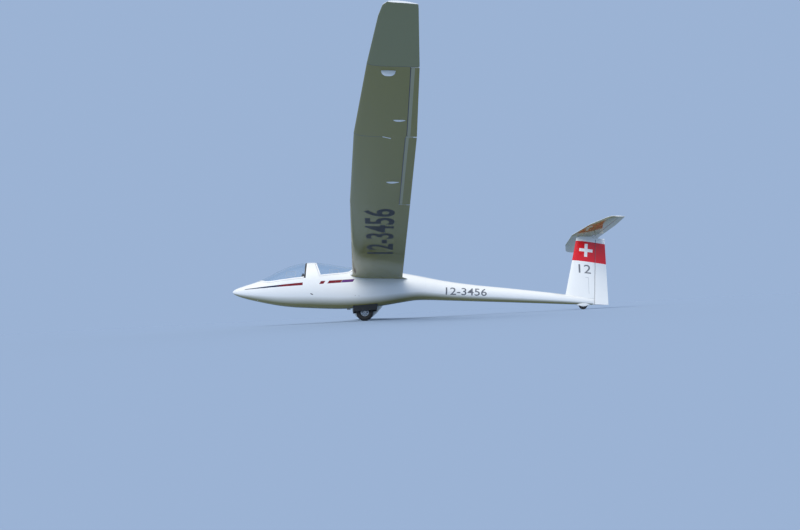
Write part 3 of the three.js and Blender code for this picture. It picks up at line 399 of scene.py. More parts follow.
def object_from(vertices, faces):
    mesh = bpy.data.meshes.new("piece")
    mesh.from_pydata(np.asarray(vertices).tolist(), [], faces)
    return linked(mesh)


def read(items, kind, width=3):
    """One kind of value of all vertices or faces, as rows."""
    values = np.empty(len(items) * width)
    items.foreach_get(kind, values)
    return values.reshape(-1, width)


def vertices_of(piece):
    return read(piece.data.vertices, "co")


def set_vertices(piece, points):
    piece.data.vertices.foreach_set("co", np.asarray(points, float).ravel())
    piece.data.update()


def solid_from_grid(points, ring=False):
    """A closed solid from rings of points, facing out: neighbours are joined as quads, and the
    first and last ring are closed by a face each, or joined to each other."""
    rows, cols = points.shape[:2]
    index = np.arange(rows * cols).reshape(rows, cols)
    if ring:
        index = np.vstack([index, index[:1]])
    index = np.hstack([index, index[:, :1]])
    quads = np.stack([index[:-1, :-1], index[:-1, 1:], index[1:, 1:], index[1:, :-1]], -1)
    quads = quads.reshape(-1, 4)
    vertices = points.reshape(-1, 3)
    around = vertices - vertices.mean(0)
    a, b, c, d = (around[quads[:, k]] for k in range(4))
    volume = (a * (np.cross(b, c) + np.cross(c, d))).sum()
    faces = quads.tolist()
    if not ring:
        for end in (index[0, -2::-1], index[-1, :-1]):
            fan = around[end]
            volume += (np.cross(fan[1:-1], fan[2:]) @ fan[0]).sum()
            faces.append(end.tolist())
    return object_from(vertices, [face[::-1] for face in faces] if volume < 0 else faces)


def prism(outline, y0, y1):
    """A flat outline of (x, z) points carried from y0 to y1."""
    x, z = np.asarray(outline, float).T
    return solid_from_grid(np.stack([np.stack([x, 0 * x + y, z], 1) for y in (y0, y1)]))


def box_solid(low, high):
    """A box between two corners."""
    outline = [(low[0], low[2]), (high[0], low[2]), (high[0], high[2]), (low[0], high[2])]
    return prism(outline, low[1], high[1])


def carried(outline, origin, axes, length):
    """An outline in the plane of two axes, carried half the length each way along the third."""
    axes = np.asarray(axes, float)
    flat = np.asarray(outline, float) @ axes[:2]
    ends = np.array([-0.5, 0.5])[:, None, None] * length * axes[2]
    return solid_from_grid(np.asarray(origin) + flat + ends)


def turned(profile, origin, axes=ABOUT_Y, segments=48, ring=False):
    """A profile of (radius, offset) pairs turned about the third axis through the origin. The
    profile of a ring is closed; another is closed by its two end faces."""
    axes = np.asarray(axes, float)
    profile = np.asarray(profile, float)[:, None]
    spokes = circle(1.0, segments) @ axes[:2]
    return solid_from_grid(profile[..., :1] * spokes + profile[..., 1:] * axes[2] + origin, ring)


def drum(radius, low, high, origin, axes=ABOUT_Y, segments=24):
    """A cylinder from one offset to another."""
    return turned([(radius, low), (radius, high)], origin, axes, segments)


def swept(path, section, up=(0, 0, 1), size=1.0):
    """A section of (side, up) pairs carried along a path, with its size given point by point."""
    path = np.asarray(path, float)
    tangent = unit(np.gradient(path, axis=0))
    side = unit(np.cross(tangent, np.asarray(up, float)))
    upright = np.cross(side, tangent)
    flat = section * np.broadcast_to(size, len(path))[:, None, None]
    rings = path[:, None] + flat[..., :1] * side[:, None] + flat[..., 1:] * upright[:, None]
    return solid_from_grid(rings)


def egg_rings(centres, half, above, below, count):
    """Rings about a line of centres: in each, two half ellipses meet at the widest line."""
    up, out = circle(1.0, count).T
    y = out * half
    z = up * np.where(up > 0, above, below)
    return centres[:, None] + np.stack([0 * y, y, z], -1)


def on_circle(turns):
    return np.stack([np.cos(turns), np.sin(turns)], -1)


def circle(radius, count=16):
    return on_circle(np.linspace(0, 2 * pi, count, endpoint=False)) * radius


def rounded(width, height, corner, count=5):
    """Outline of a rectangle with round corners."""
    x, z = width / 2 - corner, height / 2 - corner
    arc = np.linspace(0, pi / 2, count)
    middles = ((x, z), (-x, z), (-x, -z), (x, -z))
    return np.vstack([on_circle(arc + k * pi / 2) * corner + middles[k] for k in range(4)])


def settle(piece):
    """Puts the result of a piece's modifiers into its mesh."""
    graph = bpy.context.evaluated_depsgraph_get()
    mesh = bpy.data.meshes.new_from_object(piece.evaluated_get(graph))
    piece.modifiers.clear()
    old, piece.data = piece.data, mesh
    bpy.data.meshes.remove(old)


def modify(piece, kind, **settings):
    """Changes a piece's mesh by one modifier."""
    modifier = piece.modifiers.new(kind, kind)
    for name, value in settings.items():
        setattr(modifier, name, value)
    settle(piece)


def combine(piece, operation, *others):
    """Joins, cuts or intersects a solid with others, which are used up."""
    for other in others:
        modify(piece, "BOOLEAN", operation=operation, solver="MANIFOLD", object=other)
        bpy.data.objects.remove(other)
    return piece


def cut(piece, *others):
    return combine(piece, "DIFFERENCE", *others)


def gather(pieces):
    """One object from several, each in its own place."""
    whole = bmesh.new()
    for piece in pieces:
        whole.from_mesh(piece.data)
        bpy.data.objects.remove(piece)
    mesh = bpy.data.meshes.new("piece")
    whole.to_mesh(mesh)
    whole.free()
    return linked(mesh)


def dress(name, made, finishes, node=None, body="airframe", crease=32, faces=None):
    """Gathers what was made level under one name, turns it onto the floor, shades it smooth between
    creases, and gives it its finishes, by faces where that is given, and its body; the frame node
    that it stands for is hidden."""
    piece = gather(made) if isinstance(made, list) else made
    piece.name = piece.data.name = name
    set_vertices(piece, parked(vertices_of(piece)))
    mesh = piece.data
    mesh.shade_smooth()
    mesh.set_sharp_from_angle(angle=radians(crease))
    mesh.materials.clear()
    for finish in finishes.split():
        mesh.materials.append(MATERIALS[finish])
    if faces is not None:
        mesh.polygons.foreach_set("material_index", faces.astype(np.int32))
    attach(piece, body)
    if node:
        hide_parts(node)
    return piece


# Hull


def hull_solid(start, end, inset=0.0, step=0.025):
    """The hull between two stations, drawn in by an inset: half ellipses over and under its
    widest line."""
    x = np.linspace(start, end, max(int((end - start) / step), 2) + 1)
    if start == 0:
        x = np.sort(np.concatenate([x, [0.003, 0.008, 0.015]]))
    _, half, top, bottom, waist = smooth_columns(HULL, x).T[:, :, None]
    centres = np.hstack([x[:, None], 0 * waist, waist])
    above, below = top - waist - inset, waist - bottom - inset
    return solid_from_grid(egg_rings(centres, half - inset, above, below, 128))


def boom_seat():
    """The boom and a seat's gap round it, to be cut out of what stands on it."""
    return hull_solid(BOOM_JOINT_X, HULL[-1, 0], -SEAT_GAP, step=0.04)


def hull_section(x, z):
    """Half width of the hull's section at x, and how far z lies off the widest line, as a share
    of the section's reach."""
    _, half, top, bottom, waist = smooth_columns(HULL, x).T
    up = np.asarray(z) - waist
    return half, up / np.where(up > 0, top - waist, waist - bottom)


def hull_side(x, z):
    """Half width of the hull's skin at a station and height."""
    half, up = hull_section(x, z)
    return half * np.sqrt(np.clip(1 - up**2, 0, 1))


def hull_y(side, x, z, inset):
    """The y of the hull's skin at one station and height, moved inwards."""
    return side * (float(hull_side(x, z)[0]) - inset)


def sill(x):
    return SILL_START[1] + SILL_SLOPE * (x - SILL_START[0])


def canopy_edges():
    """The lower edge of each canopy, as an open path of (x, z) points."""
    x0, z0 = SILL_START
    x1, z1 = CANOPY_TIP
    slope = (z0 - z1) / (x0 - x1)
    base, (top_x, top_z) = ARCH_REAR_BASE_X, ARCH_REAR_TOP
    lean = (base - top_x) / (top_z - sill(base))
    front = [
        (x1 - 0.13, z1 - 0.13 * slope),
        (x0 - 0.09, z0 - 0.09 * slope),
        (x0, z0 + 0.007),
        (x0 + 0.09, sill(x0 + 0.09)),
        (ARCH_FRONT_X, sill(ARCH_FRONT_X)),
        (ARCH_FRONT_X, ABOVE_ALL),
    ]
    rear = [
        (top_x - lean * (ABOVE_ALL - top_z), ABOVE_ALL),
        (base, sill(base)),
        (2.470, sill(2.470)),
        (2.590, 0.468),
        (2.672, 0.538),
        (2.712, 0.640),
        (2.718, ABOVE_ALL),
    ]
    return {"front": front, "rear": rear}


def flat_cross(a, b):
    return (a[:, 0] * b[:, 1] - a[:, 1] * b[:, 0])[:, None]


def above_edge(edge, inset):
    """Everything above a canopy edge drawn in by an inset: its lines are moved sideways, and
    each meets the next where they cross."""
    path = np.asarray(edge, float)
    along = np.diff(path, axis=0)
    start = path[:-1] + left_of(along) * inset
    share = flat_cross(np.diff(start, axis=0), along[1:]) / flat_cross(along[:-1], along[1:])
    moved = np.vstack([start[:1], start[:-1] + along[:-1] * share, start[-1:] + along[-1:]])
    top = ABOVE_ALL + 0.06
    return prism(np.vstack([moved, [(moved[-1][0], top), (moved[0][0], top)]]), -0.6, 0.6)


def canopy_shell(thickness, above):
    """The hull's skin to a depth, where it lies above an edge."""
    skin = cut(hull_solid(0.3, 3.0), hull_solid(0.31, 2.99, thickness))
    return combine(skin, "INTERSECT", above)


# Wings and tail: sections in the chord's own plane


def skins(section, distance, growth=0.0):
    """Heights of both skins behind the leading edge: a thickness curve of root, straight and
    power terms about a camber line that is a parabola."""
    _, _, chord, _, thick, camber = section
    u = np.clip(distance / chord, 0, 1)
    curve = 1.4845 * np.sqrt(u) - 0.63 * u - 1.758 * u**2 + 1.4215 * u**3 - 0.518 * u**4
    half = chord * thick * curve + TRAILING_EDGE / 2 * u + growth
    line = chord * camber * 4 * u * (1 - u)
    return line + half, line - half


def wing_place(side, incidence=WING_INCIDENCE):
    """Puts sections across the span, turned nose up about a quarter of the chord."""

    def place(section, distance, height):
        span, lead, chord, z, _, _ = section
        x = lead + distance
        up = z + (0.25 * chord - distance) * sin(incidence) + height
        return np.stack([x, np.broadcast_to(side * span, x.shape), up], -1)

    return place


def fin_place(section, distance, height):
    return wing_place(1, 0.0)(section, distance, height)[..., [0, 2, 1]]


def closed_rings(section, place, nose, distance, top, bottom):
    """Rings that start at the nose, run over the top to the rear and back underneath."""
    spread = np.hstack([nose[0], distance, distance[:, ::-1]])
    height = np.hstack([nose[1], top, bottom[:, ::-1]])
    return solid_from_grid(place(section, spread, height))


def whole_sections(section, place, growth=0.0):
    """Both skins from nose to rear, with points that lie closer together towards both."""
    distance = (1 - np.cos(pi * np.arange(1, 41) / 40)) / 2 * section[2]
    zero = np.zeros_like(section[2])
    nose = (zero - 2 * growth, zero)
    return closed_rings(section, place, nose, distance, *skins(section, distance, growth))


class Surface:
    """Sections along a span, put in their places by a function. The hinge is the slope and foot
    of a straight line."""

    def __init__(self, rows, place, hinge=(0.0, 0.0)):
        self.rows, self.place, self.hinge = rows, place, hinge

    def sections(self, start, end, step):
        """Section columns at every row between two spans, none further apart than a step, and
        at each the hinge: its distance, its height and half the thickness there."""
        rows = self.rows[:, 0]
        stops = [start, *rows[(rows > start) & (rows < end)], end]
        spans = [start]
        for a, b in zip(stops[:-1], stops[1:]):
            count = max(int(np.ceil((b - a) / step)), 1)
            spans.extend(np.linspace(a, b, count + 1)[1:])
        section = straight_columns(self.rows, spans).T[:, :, None]
        at = self.hinge[0] * np.array(spans)[:, None] + self.hinge[1] - section[1]
        top, bottom = skins(section, at)
        return section, at, (top + bottom) / 2, (top - bottom) / 2

    def whole(self, start, end, step=0.1, growth=0.0):
        return whole_sections(self.sections(start, end, step)[0], self.place, growth)

    def flap(self, start, end):
        """A control surface: round nose about the hinge, then both skins aft."""
        section, at, height, radius = self.sections(start, end, 0.1)
        turn = np.arange(1, 11) / 10 * pi / 2
        up = radius * np.sin(turn)
        behind = at + (section[2] - at) * (np.arange(1, 15) / 14)
        top, bottom = skins(section, behind)
        return closed_rings(
            section,
            self.place,
            (at - radius, height),
            np.hstack([at - radius * np.cos(turn), behind]),
            np.hstack([height + up, top]),
            np.hstack([height - up, bottom]),
        )

    def cove(self, start, end):
        """The room of a control surface: a round cove about the hinge, open behind."""
        section, at, height, radius = self.sections(start, end, 0.2)
        reach = radius + MOVING_GAP
        turn = np.arange(1, 11) / 10 * radians(55)
        lip, far = at - reach * cos(radians(55)), section[2] + 0.12
        distance = np.hstack([at - reach * np.cos(turn), lip, far])
        rise = np.hstack([reach * np.sin(turn), reach + 0.06, reach + 0.06])
        nose = (at - reach, height)
        return closed_rings(section, self.place, nose, distance, height + rise, height - rise)


TAIL_SURFACE = Surface(TAILPLANE, wing_place(1, 0.0), (0.0, ELEVATOR_HINGE_X))
FIN_SURFACE = Surface(FIN, fin_place, line_through(*RUDDER_SPAN, *RUDDER_HINGE))


def chord_x(spans, fraction):
    """The x of a chord fraction of the wing."""
    return straight_columns(WING, spans)[:, 1:3] @ (1, fraction)


def chord_line(start, end, fraction):
    """Slope and foot of the straight line along a chord fraction between two spans."""
    return line_through(start, end, *chord_x([start, end], fraction))


def wing_skin(side, x, spans, skin=LOWER_SKIN):
    """Points of one of the wing's skins at level x and span."""
    section = straight_columns(WING, spans).T
    distance = x - section[1]
    return wing_place(side)(section, distance, skins(section, distance)[skin])


def brake_frame(side):
    """Middle of an airbrake's slot in the top skin, its aft, up and spanwise directions, and its
    length."""
    spans = [BRAKE["start"], BRAKE["end"]]
    inboard, outboard = wing_skin(side, chord_x(spans, BRAKE["chord"]), spans, TOP_SKIN)
    along = unit(outboard - inboard)
    aft = unit(np.array([1.0, 0, 0]) - along * along[0])
    axes = (aft, np.cross(aft, along) * side, along)
    return (inboard + outboard) / 2, axes, np.linalg.norm(outboard - inboard)


def tee_outline(room, floor_room, rise):
    """Half outline of cap over blade, with room all round it, mirrored to a whole one."""
    blade, cap = BRAKE["blade"] / 2 + room, BRAKE_CAP["width"] / 2 + room
    step = -BRAKE_CAP["depth"] - floor_room
    half = [(cap, rise), (cap, step), (blade, step), (blade, -BRAKE["height"] - room)]
    return half + [(-x, z) for x, z in reversed(half)]


def root_fairing(side):
    """The wing's own sections towards the hull, with chord and thickness grown by a table."""
    rows = smooth_columns(ROOT_FAIRING, np.linspace(0.18, WING_ROOT_Y, 25)).T[:, :, None]
    y, ahead, behind, swell = rows
    base = straight_columns(WING, np.maximum(y[:, 0], WING[0, 0])).T[:, :, None]
    _, lead, chord, z, thick, camber = base
    longer = chord + ahead + behind
    height = z - (ahead - 0.25 * (ahead + behind)) * sin(WING_INCIDENCE)
    grown = (y, lead - ahead, longer, height, thick * swell * chord / longer, camber)
    return whole_sections(grown, wing_place(side))


def horn_fairing(side, span, fraction, length):
    """A slim teardrop under the wing: its width follows a sine of the length, raised ahead."""
    part = np.linspace(0, 1, 25)
    size = (np.sin(pi * part**0.8) ** 0.75 * 0.94 + 0.06)[:, None]
    x = chord_x(span, fraction) - length * (1.05 - part)
    centres = wing_skin(side, x, np.full(25, span))
    deep = length * 0.113 * size
    return solid_from_grid(egg_rings(centres, length * 0.10 * size, deep, deep, 20))


def tip_skid(side):
    """A blade under the wing: half ellipses whose depth falls off towards both ends."""
    part = np.linspace(-1, 1, 41)
    size = np.sqrt(np.clip(1 - np.abs(part) ** 2.6, 0.0004, 1))[:, None]
    x = chord_x(TIP_SKID["y"], TIP_SKID["chord"]) + part * TIP_SKID["length"] * 0.46
    centres = wing_skin(side, x, np.full(41, TIP_SKID["y"]))
    deep = TIP_SKID["drop"] * size * 0.985
    skid = solid_from_grid(egg_rings(centres, TIP_SKID["width"] / 2 * size, 0.008, deep, 24))
    wing = Surface(WING, wing_place(side))
    return cut(skid, wing.whole(PANEL_JOINT_Y, TIP_JOINT_Y, growth=SEAT_GAP))


def tail_fairing():
    """Egg-shaped sections under the boom, whose width and depth follow a table."""
    parts = TAIL_FAIRING
    share, wide, deep = smooth_columns(TAIL_FAIRING_SHAPE, np.linspace(0, 1, 41)).T[:, :, None]
    x = parts["front"] + (parts["rear"] - parts["front"]) * share
    centres = np.hstack([x, 0 * x, 0 * x + parts["middle"]])
    return solid_from_grid(egg_rings(centres, parts["half"] * wide, 0.060, parts["down"] * deep, 48))


def tail_wheel_room():
    """The tail wheel's slot: round over the wheel, open below."""
    radius = WHEELS["tail_wheel"]["radius"] + TAIL_WHEEL_GAP
    half = WHEELS["tail_wheel"]["width"] / 2 + TAIL_WHEEL_GAP
    arc = on_circle(np.linspace(0, pi, 33)) * radius
    return prism(np.vstack([arc, (-radius, -0.3), (radius, -0.3)]) + TAIL_AXLE[[0, 2]], -half, half)


# Flat marks laid on a skin


def edit(piece, change):
    """Changes a piece's mesh by operations on its vertices, edges and faces."""
    mesh = bmesh.new()
    mesh.from_mesh(piece.data)
    change(mesh)
    mesh.to_mesh(piece.data)
    mesh.free()


def lettering(text, height, length, weight=0.0):
    """Figures as a flat piece: x runs along the line, y up, the foot of the line at 0."""
    curve = bpy.data.curves.new("figures", "FONT")
    curve.body = text
    curve.offset = weight
    curve.resolution_u = 4
    drawn = linked(curve)
    bpy.context.view_layer.update()
    graph = bpy.context.evaluated_depsgraph_get()
    piece = linked(bpy.data.meshes.new_from_object(drawn.evaluated_get(graph)))
    bpy.data.objects.remove(drawn)
    edit(piece, lambda flat: bmesh.ops.remove_doubles(flat, verts=flat.verts, dist=1e-5))
    points = vertices_of(piece)
    low, high = points.min(0), points.max(0)
    set_vertices(piece, (points - low) * (length / (high - low)[0], height / (high - low)[1], 1))
    return piece


def disc_flat(radius, stretch, lean):
    """A flat ellipse about the origin, stretched along x and turned."""
    points = circle(radius, 20) * (stretch, 1)
    points = points @ [(cos(lean), sin(lean)), (-sin(lean), cos(lean))]
    return object_from(np.column_stack([points, np.zeros(20)]), [list(range(20))])


def laid(name, piece, place, finish, step=0.03):
    """Cuts a flat piece into strips, lays it on a skin with place(x, y), and gives it thickness."""
    points = vertices_of(piece)

    def strips(flat):
        for axis, way in enumerate(((1, 0, 0), (0, 1, 0))):
            for at in np.arange(points[:, axis].min() + step, points[:, axis].max(), step):
                parts = [*flat.verts, *flat.edges, *flat.faces]
                bmesh.ops.bisect_plane(flat, geom=parts, plane_co=Vector(way) * at, plane_no=way)

    edit(piece, strips)
    skin, outward = place(*vertices_of(piece).T[:2])
    set_vertices(piece, skin + np.multiply(outward, 0.0002))
    if (read(piece.data.polygons, "normal") @ outward).sum() < 0:
        piece.data.flip_normals()
    modify(piece, "SOLIDIFY", thickness=0.0004, offset=1)
    dress(name, piece, finish)


def on_wing(side, start):
    """Figures read along the wing's underside, ahead of the trailing edge."""
    slope, foot = chord_line(*WING_FIGURES["spans"], 1.0)

    def place(u, v):
        spans = start - side * u
        x = spans * slope + foot - WING_FIGURES["ahead"] - v
        return wing_skin(side, x, spans), (0, 0, -1)

    return place


def on_boom(side, start):
    def place(u, v):
        x, z = start - side * u, BOOM_FIGURES_Z + v
        return np.stack([x, side * hull_side(x, z), z], 1), (0, side, 0)

    return place


def on_fin(side, start):
    """Figures on the fin, along a line that falls aft."""

    def place(u, v):
        x = start - side * u
        z = FIN_FIGURES["z"] + v - FIN_FIGURES["fall"] * (x - FIN_FIGURES["x"])
        section = straight_columns(FIN, z).T
        return np.stack([x, side * skins(section, x - section[1])[0], z], 1), (0, side, 0)

    return place


def on_hull(side, x, z):
    def place(u, v):
        return np.stack([x + u, side * hull_side(x + u, z + v), z + v], 1), (0, side, 0)

    return place


# Shaders


class Value:
    """What a node puts out. Arithmetic adds math nodes; a | b is the greater of two masks."""

    def __init__(self, graph, socket):
        self.graph, self.socket = graph, socket

    def __add__(self, other):
        return self.graph.math("ADD", self, other)

    def __sub__(self, other):
        return self.graph.math("SUBTRACT", self, other)

    def __mul__(self, other):
        return self.graph.math("MULTIPLY", self, other)

    def __truediv__(self, other):
        return self.graph.math("DIVIDE", self, other)

    def __or__(self, other):
        return self.graph.math("MAXIMUM", self, other)

    def __abs__(self):
        return self.graph.math("ABSOLUTE", self)


class Graph:
    """Adds nodes to a tree and joins them."""

    def __init__(self, tree):
        self.tree = tree

    def fill(self, node, inputs):
        """Gives a node its inputs: values are linked, numbers and colours set on the socket."""
        for key, value in inputs.items() if isinstance(inputs, dict) else enumerate(inputs):
            if isinstance(value, Value):
                self.tree.links.new(value.socket, node.inputs[key])
            else:
                node.inputs[key].default_value = value

    def add(self, kind, inputs=(), **settings):
        """Adds a node and gives the values that it puts out."""
        node = self.tree.nodes.new(kind)
        for name, value in settings.items():
            setattr(node, name, value)
        self.fill(node, inputs)
        return [Value(self, socket) for socket in node.outputs]

    def math(self, operation, *inputs, clamp=False):
        return self.add("ShaderNodeMath", inputs, operation=operation, use_clamp=clamp)[0]

    def mix(self, share, first, second):
        first, second = (v if isinstance(v, Value) else (*v, 1) for v in (first, second))
        inputs = {0: share, 6: first, 7: second}
        return self.add("ShaderNodeMix", inputs, data_type="RGBA")[2]

    def noise(self, vector, scale, detail=4.0, roughness=0.5):
        inputs = {"Vector": vector, "Scale": scale, "Detail": detail, "Roughness": roughness}
        return self.add("ShaderNodeTexNoise", inputs)[0]

    def axes(self, vector):
        return self.add("ShaderNodeSeparateXYZ", [vector])

    def smoothstep(self, value, low, high):
        inputs = {"Value": value, "From Min": low, "From Max": high}
        return self.add("ShaderNodeMapRange", inputs, interpolation_type="SMOOTHSTEP")[0]

    def coordinates(self):
        return self.add("ShaderNodeTexCoord")[3]

    def bump(self, height, strength, distance):
        inputs = {"Strength": strength, "Distance": distance, "Height": height}
        return self.add("ShaderNodeBump", inputs)[0]

    def place(self, name, *inputs):
        """A node group, with its inputs in their order."""
        return self.add("ShaderNodeGroup", inputs, node_tree=GROUPS[name])

    def between(self, value, low, high, edge=0.0012):
        return self.place("Window", value, low, high, edge)[0]

    def facing_down(self, steepness=0.25, edge=0.3):
        """A mask of the faces that look down more steeply than that, by the normal's height."""
        normal = self.add("ShaderNodeNewGeometry")[1]
        return self.between(self.axes(normal)[2], -2.0, -steepness, edge)


GROUPS = {}
MATERIALS = {}


def looks():
    return bpy.context.scene.sailplane_looks


def window(graph, value, low, high, edge):
    """A mask that is 1 where a value lies between two limits, with a soft edge."""
    nearest = graph.math("MINIMUM", value - low, high - value) / edge
    return [graph.math("ADD", nearest, 0.5, clamp=True)]


def hand_finish(graph, vector, peel, dust):
    """Slow waves of a hand-finished skin, fine orange peel, and faint dust marks."""
    height = graph.noise(vector, 420.0, 2.0) * (peel * 0.02) + graph.noise(vector, 2.2, 2.0)
    ramp = graph.tree.nodes.new("ShaderNodeValToRGB")
    graph.fill(ramp, [graph.noise(vector, 5.5, 6.0, 0.62)])
    for element, (position, grey) in zip(ramp.color_ramp.elements, ((0.45, 0.0), (0.75, 1.0))):
        element.position = position
        element.color = (grey, grey, grey, 1)
    patches = Value(graph, ramp.outputs[0])
    return [height, patches * graph.noise(vector, 160.0, 3.0, 0.7) * dust]


def grain(graph, vector, scale):
    """Fine grain and slow patches: a mask for colour and roughness, and a height."""
    mask = graph.noise(vector, 9.0, 3.0) * 0.5 + graph.noise(vector, scale, 5.0, 0.6) * 0.5
    return [mask, graph.noise(vector, scale * 6.0, 2.0)]


def weave(graph, vector, pitch):
    """Warp and weft threads: the product of two sine bands, with loose fibres."""
    x, y, z = graph.axes(vector)
    turns = graph.math("DIVIDE", 2 * pi, pitch)
    woven = graph.math("SINE", y * turns) * graph.math("SINE", (x + z) * turns)
    fibres = graph.noise(vector, 900.0, 3.0, 0.7)
    return [woven * 0.4 + fibres, fibres * 0.4 + graph.noise(vector, 14.0, 4.0, 0.6) * 0.6]


# Node groups: name, what makes it, inputs with their defaults, outputs
GROUP_TABLE = (
    ("Window", window, {"Value": 0.0, "Low": 0.0, "High": 1.0, "Edge": 0.001}, ("Mask",)),
    ("Hand finish", hand_finish, {"Vector": None, "Peel": 0.3, "Dust": 0.3}, ("Height", "Dust")),
    ("Grain", grain, {"Vector": None, "Scale": 60.0}, ("Mask", "Height")),
    ("Weave", weave, {"Vector": None, "Pitch": 0.0016}, ("Height", "Shade")),
)


def make_groups():
    for name, make, inputs, outputs in GROUP_TABLE:
        tree = bpy.data.node_groups.new(name, "ShaderNodeTree")
        for label, default in inputs.items():
            kind = "NodeSocketVector" if default is None else "NodeSocketFloat"
            socket = tree.interface.new_socket(label, in_out="INPUT", socket_type=kind)
            if default is not None:
                socket.default_value = default
        for label in outputs:
            tree.interface.new_socket(label, in_out="OUTPUT", socket_type="NodeSocketFloat")
        graph = Graph(tree)
        given = graph.add("NodeGroupInput")[: len(inputs)]
        graph.fill(tree.nodes.new("NodeGroupOutput"), make(graph, *given))
        GROUPS[name] = tree


def new_material(name):
    material = bpy.data.materials.new(name)
    material.use_nodes = True
    tree = material.node_tree
    return material, Graph(tree), tree.nodes["Principled BSDF"]


def gelcoat(name, paint=None):
    """White polished gelcoat, with paint laid over it where a painter is given. The wing's
    underside is duller than the rest."""
    material, graph, shader = new_material(name)
    inputs = {
        "Vector": graph.coordinates(),
        "Location": NOSE_TIP,
        "Rotation": Matrix(TURN.tolist()).to_euler("XYZ"),
    }
    level = graph.add("ShaderNodeMapping", inputs, vector_type="TEXTURE")[0]
    height, dust = graph.place("Hand finish", level, 0.3, 0.35)
    white = graph.mix(dust, looks().gelcoat, [0.93 * c for c in looks().gelcoat])
    worn = graph.facing_down() * -0.55 + 0.6 if paint is paint_wing else 0.6
    inputs = {
        "Base Color": paint(graph, *graph.axes(level), white) if paint else white,
        "Roughness": dust * 0.25 + 0.14,
        "Coat Weight": worn,
        "Coat Roughness": 0.03,
        "Normal": graph.bump(height, 0.06, 0.01),
    }
    graph.fill(shader, inputs)
    return material


def paint_nose(graph, x, y, z, white):
    """A stripe along each side of the nose that widens aft and turns from navy to red, and
    leaning blocks behind it: distances are measured from one rising line."""
    start_x, start_z = STRIPE_START
    colour = paint_belly(graph, x, y, z, white)
    off = z - (x * STRIPE_RISE + (start_z - start_x * STRIPE_RISE))
    half = x * STRIPE_WIDENING + (STRIPE_HALF - start_x * STRIPE_WIDENING)
    strip = graph.between(abs(off), -1.0, half) * graph.between(x, start_x, STRIPE_END_X)
    turning = graph.between(x, STRIPE_TURN["x"], 9.0, STRIPE_TURN["edge"])
    colour = graph.mix(strip, colour, graph.mix(turning, looks().navy, looks().stripe_red))
    block = graph.between(abs(off), -1.0, BLOCK_HALF)
    leaning = x - off * BLOCK_LEAN
    for start, end, shade in STRIPE_BLOCKS:
        mask = block * graph.between(leaning, start, end)
        colour = graph.mix(mask, colour, getattr(looks(), shade))
    return colour


def paint_belly(graph, x, y, z, white):
    """Painted shade on the undersides, dark olive for shade lit from green ground, from halfway down
    the hull's sides to its belly.
    """
    return graph.mix(graph.facing_down(0.52, 0.45), white, looks().shaded)


def paint_under(graph, x, y, z, white):
    """Faces that look down get a painted shade, dark olive for shade lit from green ground, with a
    dark line along the elevator's hinge."""
    under = graph.facing_down()
    hinge_line = graph.between(x, ELEVATOR_HINGE_X - HINGE_LINE_WIDTH, ELEVATOR_HINGE_X - 0.002)
    reach = graph.between(y, -ELEVATOR_HALF_SPAN, ELEVATOR_HALF_SPAN)
    colour = graph.mix(under, white, looks().shaded)
    return graph.mix(hinge_line * reach * under, colour, (0.06, 0.06, 0.05))


def paint_hoop(graph, x, y, z, white):
    """The front canopy's frame is dark where it follows the arch."""
    return graph.mix(graph.between(x, HOOP_X, 1.70, 0.002), white, (0.02, 0.02, 0.022))


def paint_wing(graph, x, y, z, white):
    """A dark line along each aileron's hinge and a paler strip just behind it, dark lines over the
    joints between the panels, a pale mark on the end of the inner one, and painted light at the
    trailing edge where ailerons end, as if it shone through the gaps. Faces that look down get the
    painted shade, and the tip panel's underside a painted shade a little darker and bluer, for its
    steeper slant to the light."""
    span = abs(y)
    under = graph.facing_down()
    # Painted shade on the faces that look down
    colour = graph.mix(under, white, looks().shaded)
    # Painted shade on the tip panel's underside, bluer for its steeper slant to the light
    tip = graph.between(span, TIP_JOINT_Y, 99.0) * under * 0.25
    colour = graph.mix(tip, colour, (0.20, 0.28, 0.27))
    lines = graph.between(span, PANEL_JOINT_Y - 0.004, PANEL_JOINT_Y + 0.004)
    lines = lines * graph.between(x, -9.0, JOINT_LINE_END_X)
    lines = lines | graph.between(span, TIP_JOINT_Y - 0.003, TIP_JOINT_Y + 0.003)
    along = x - PALE_MARK["x"]
    across = abs(along * PALE_MARK["lean"] + (span - PANEL_JOINT_Y))
    pale = graph.between(across, -1.0, PALE_MARK["width"] / 2)
    pale = pale * graph.between(along, 0.0, PALE_MARK["length"])
    for _, _, _, (start, end, fraction), _ in PANELS:
        slope, foot = chord_line(start, end, fraction)
        off = x - (span * slope + foot)
        reach = graph.between(span, start, end)
        pale = pale | graph.between(off, -0.002, 0.036) * reach * 0.17
        lines = lines | graph.between(off, -0.013, -0.003) * reach * under
        rear = straight_columns(WING, start)[0, 2] * (1 - fraction) * 0.62
        edge = graph.between(off, rear, 9.0) * graph.between(span, start - 0.02, end + 0.02)
        # Painted light at the trailing edge where each aileron ends, as if shining through the gap
        for y0 in GAP_LIGHT_TICKS:
            pale = pale | graph.between(span, y0 - 0.009, y0 + 0.009) * edge
    return graph.mix(pale, graph.mix(lines, colour, (0.10, 0.10, 0.10)), looks().gelcoat)


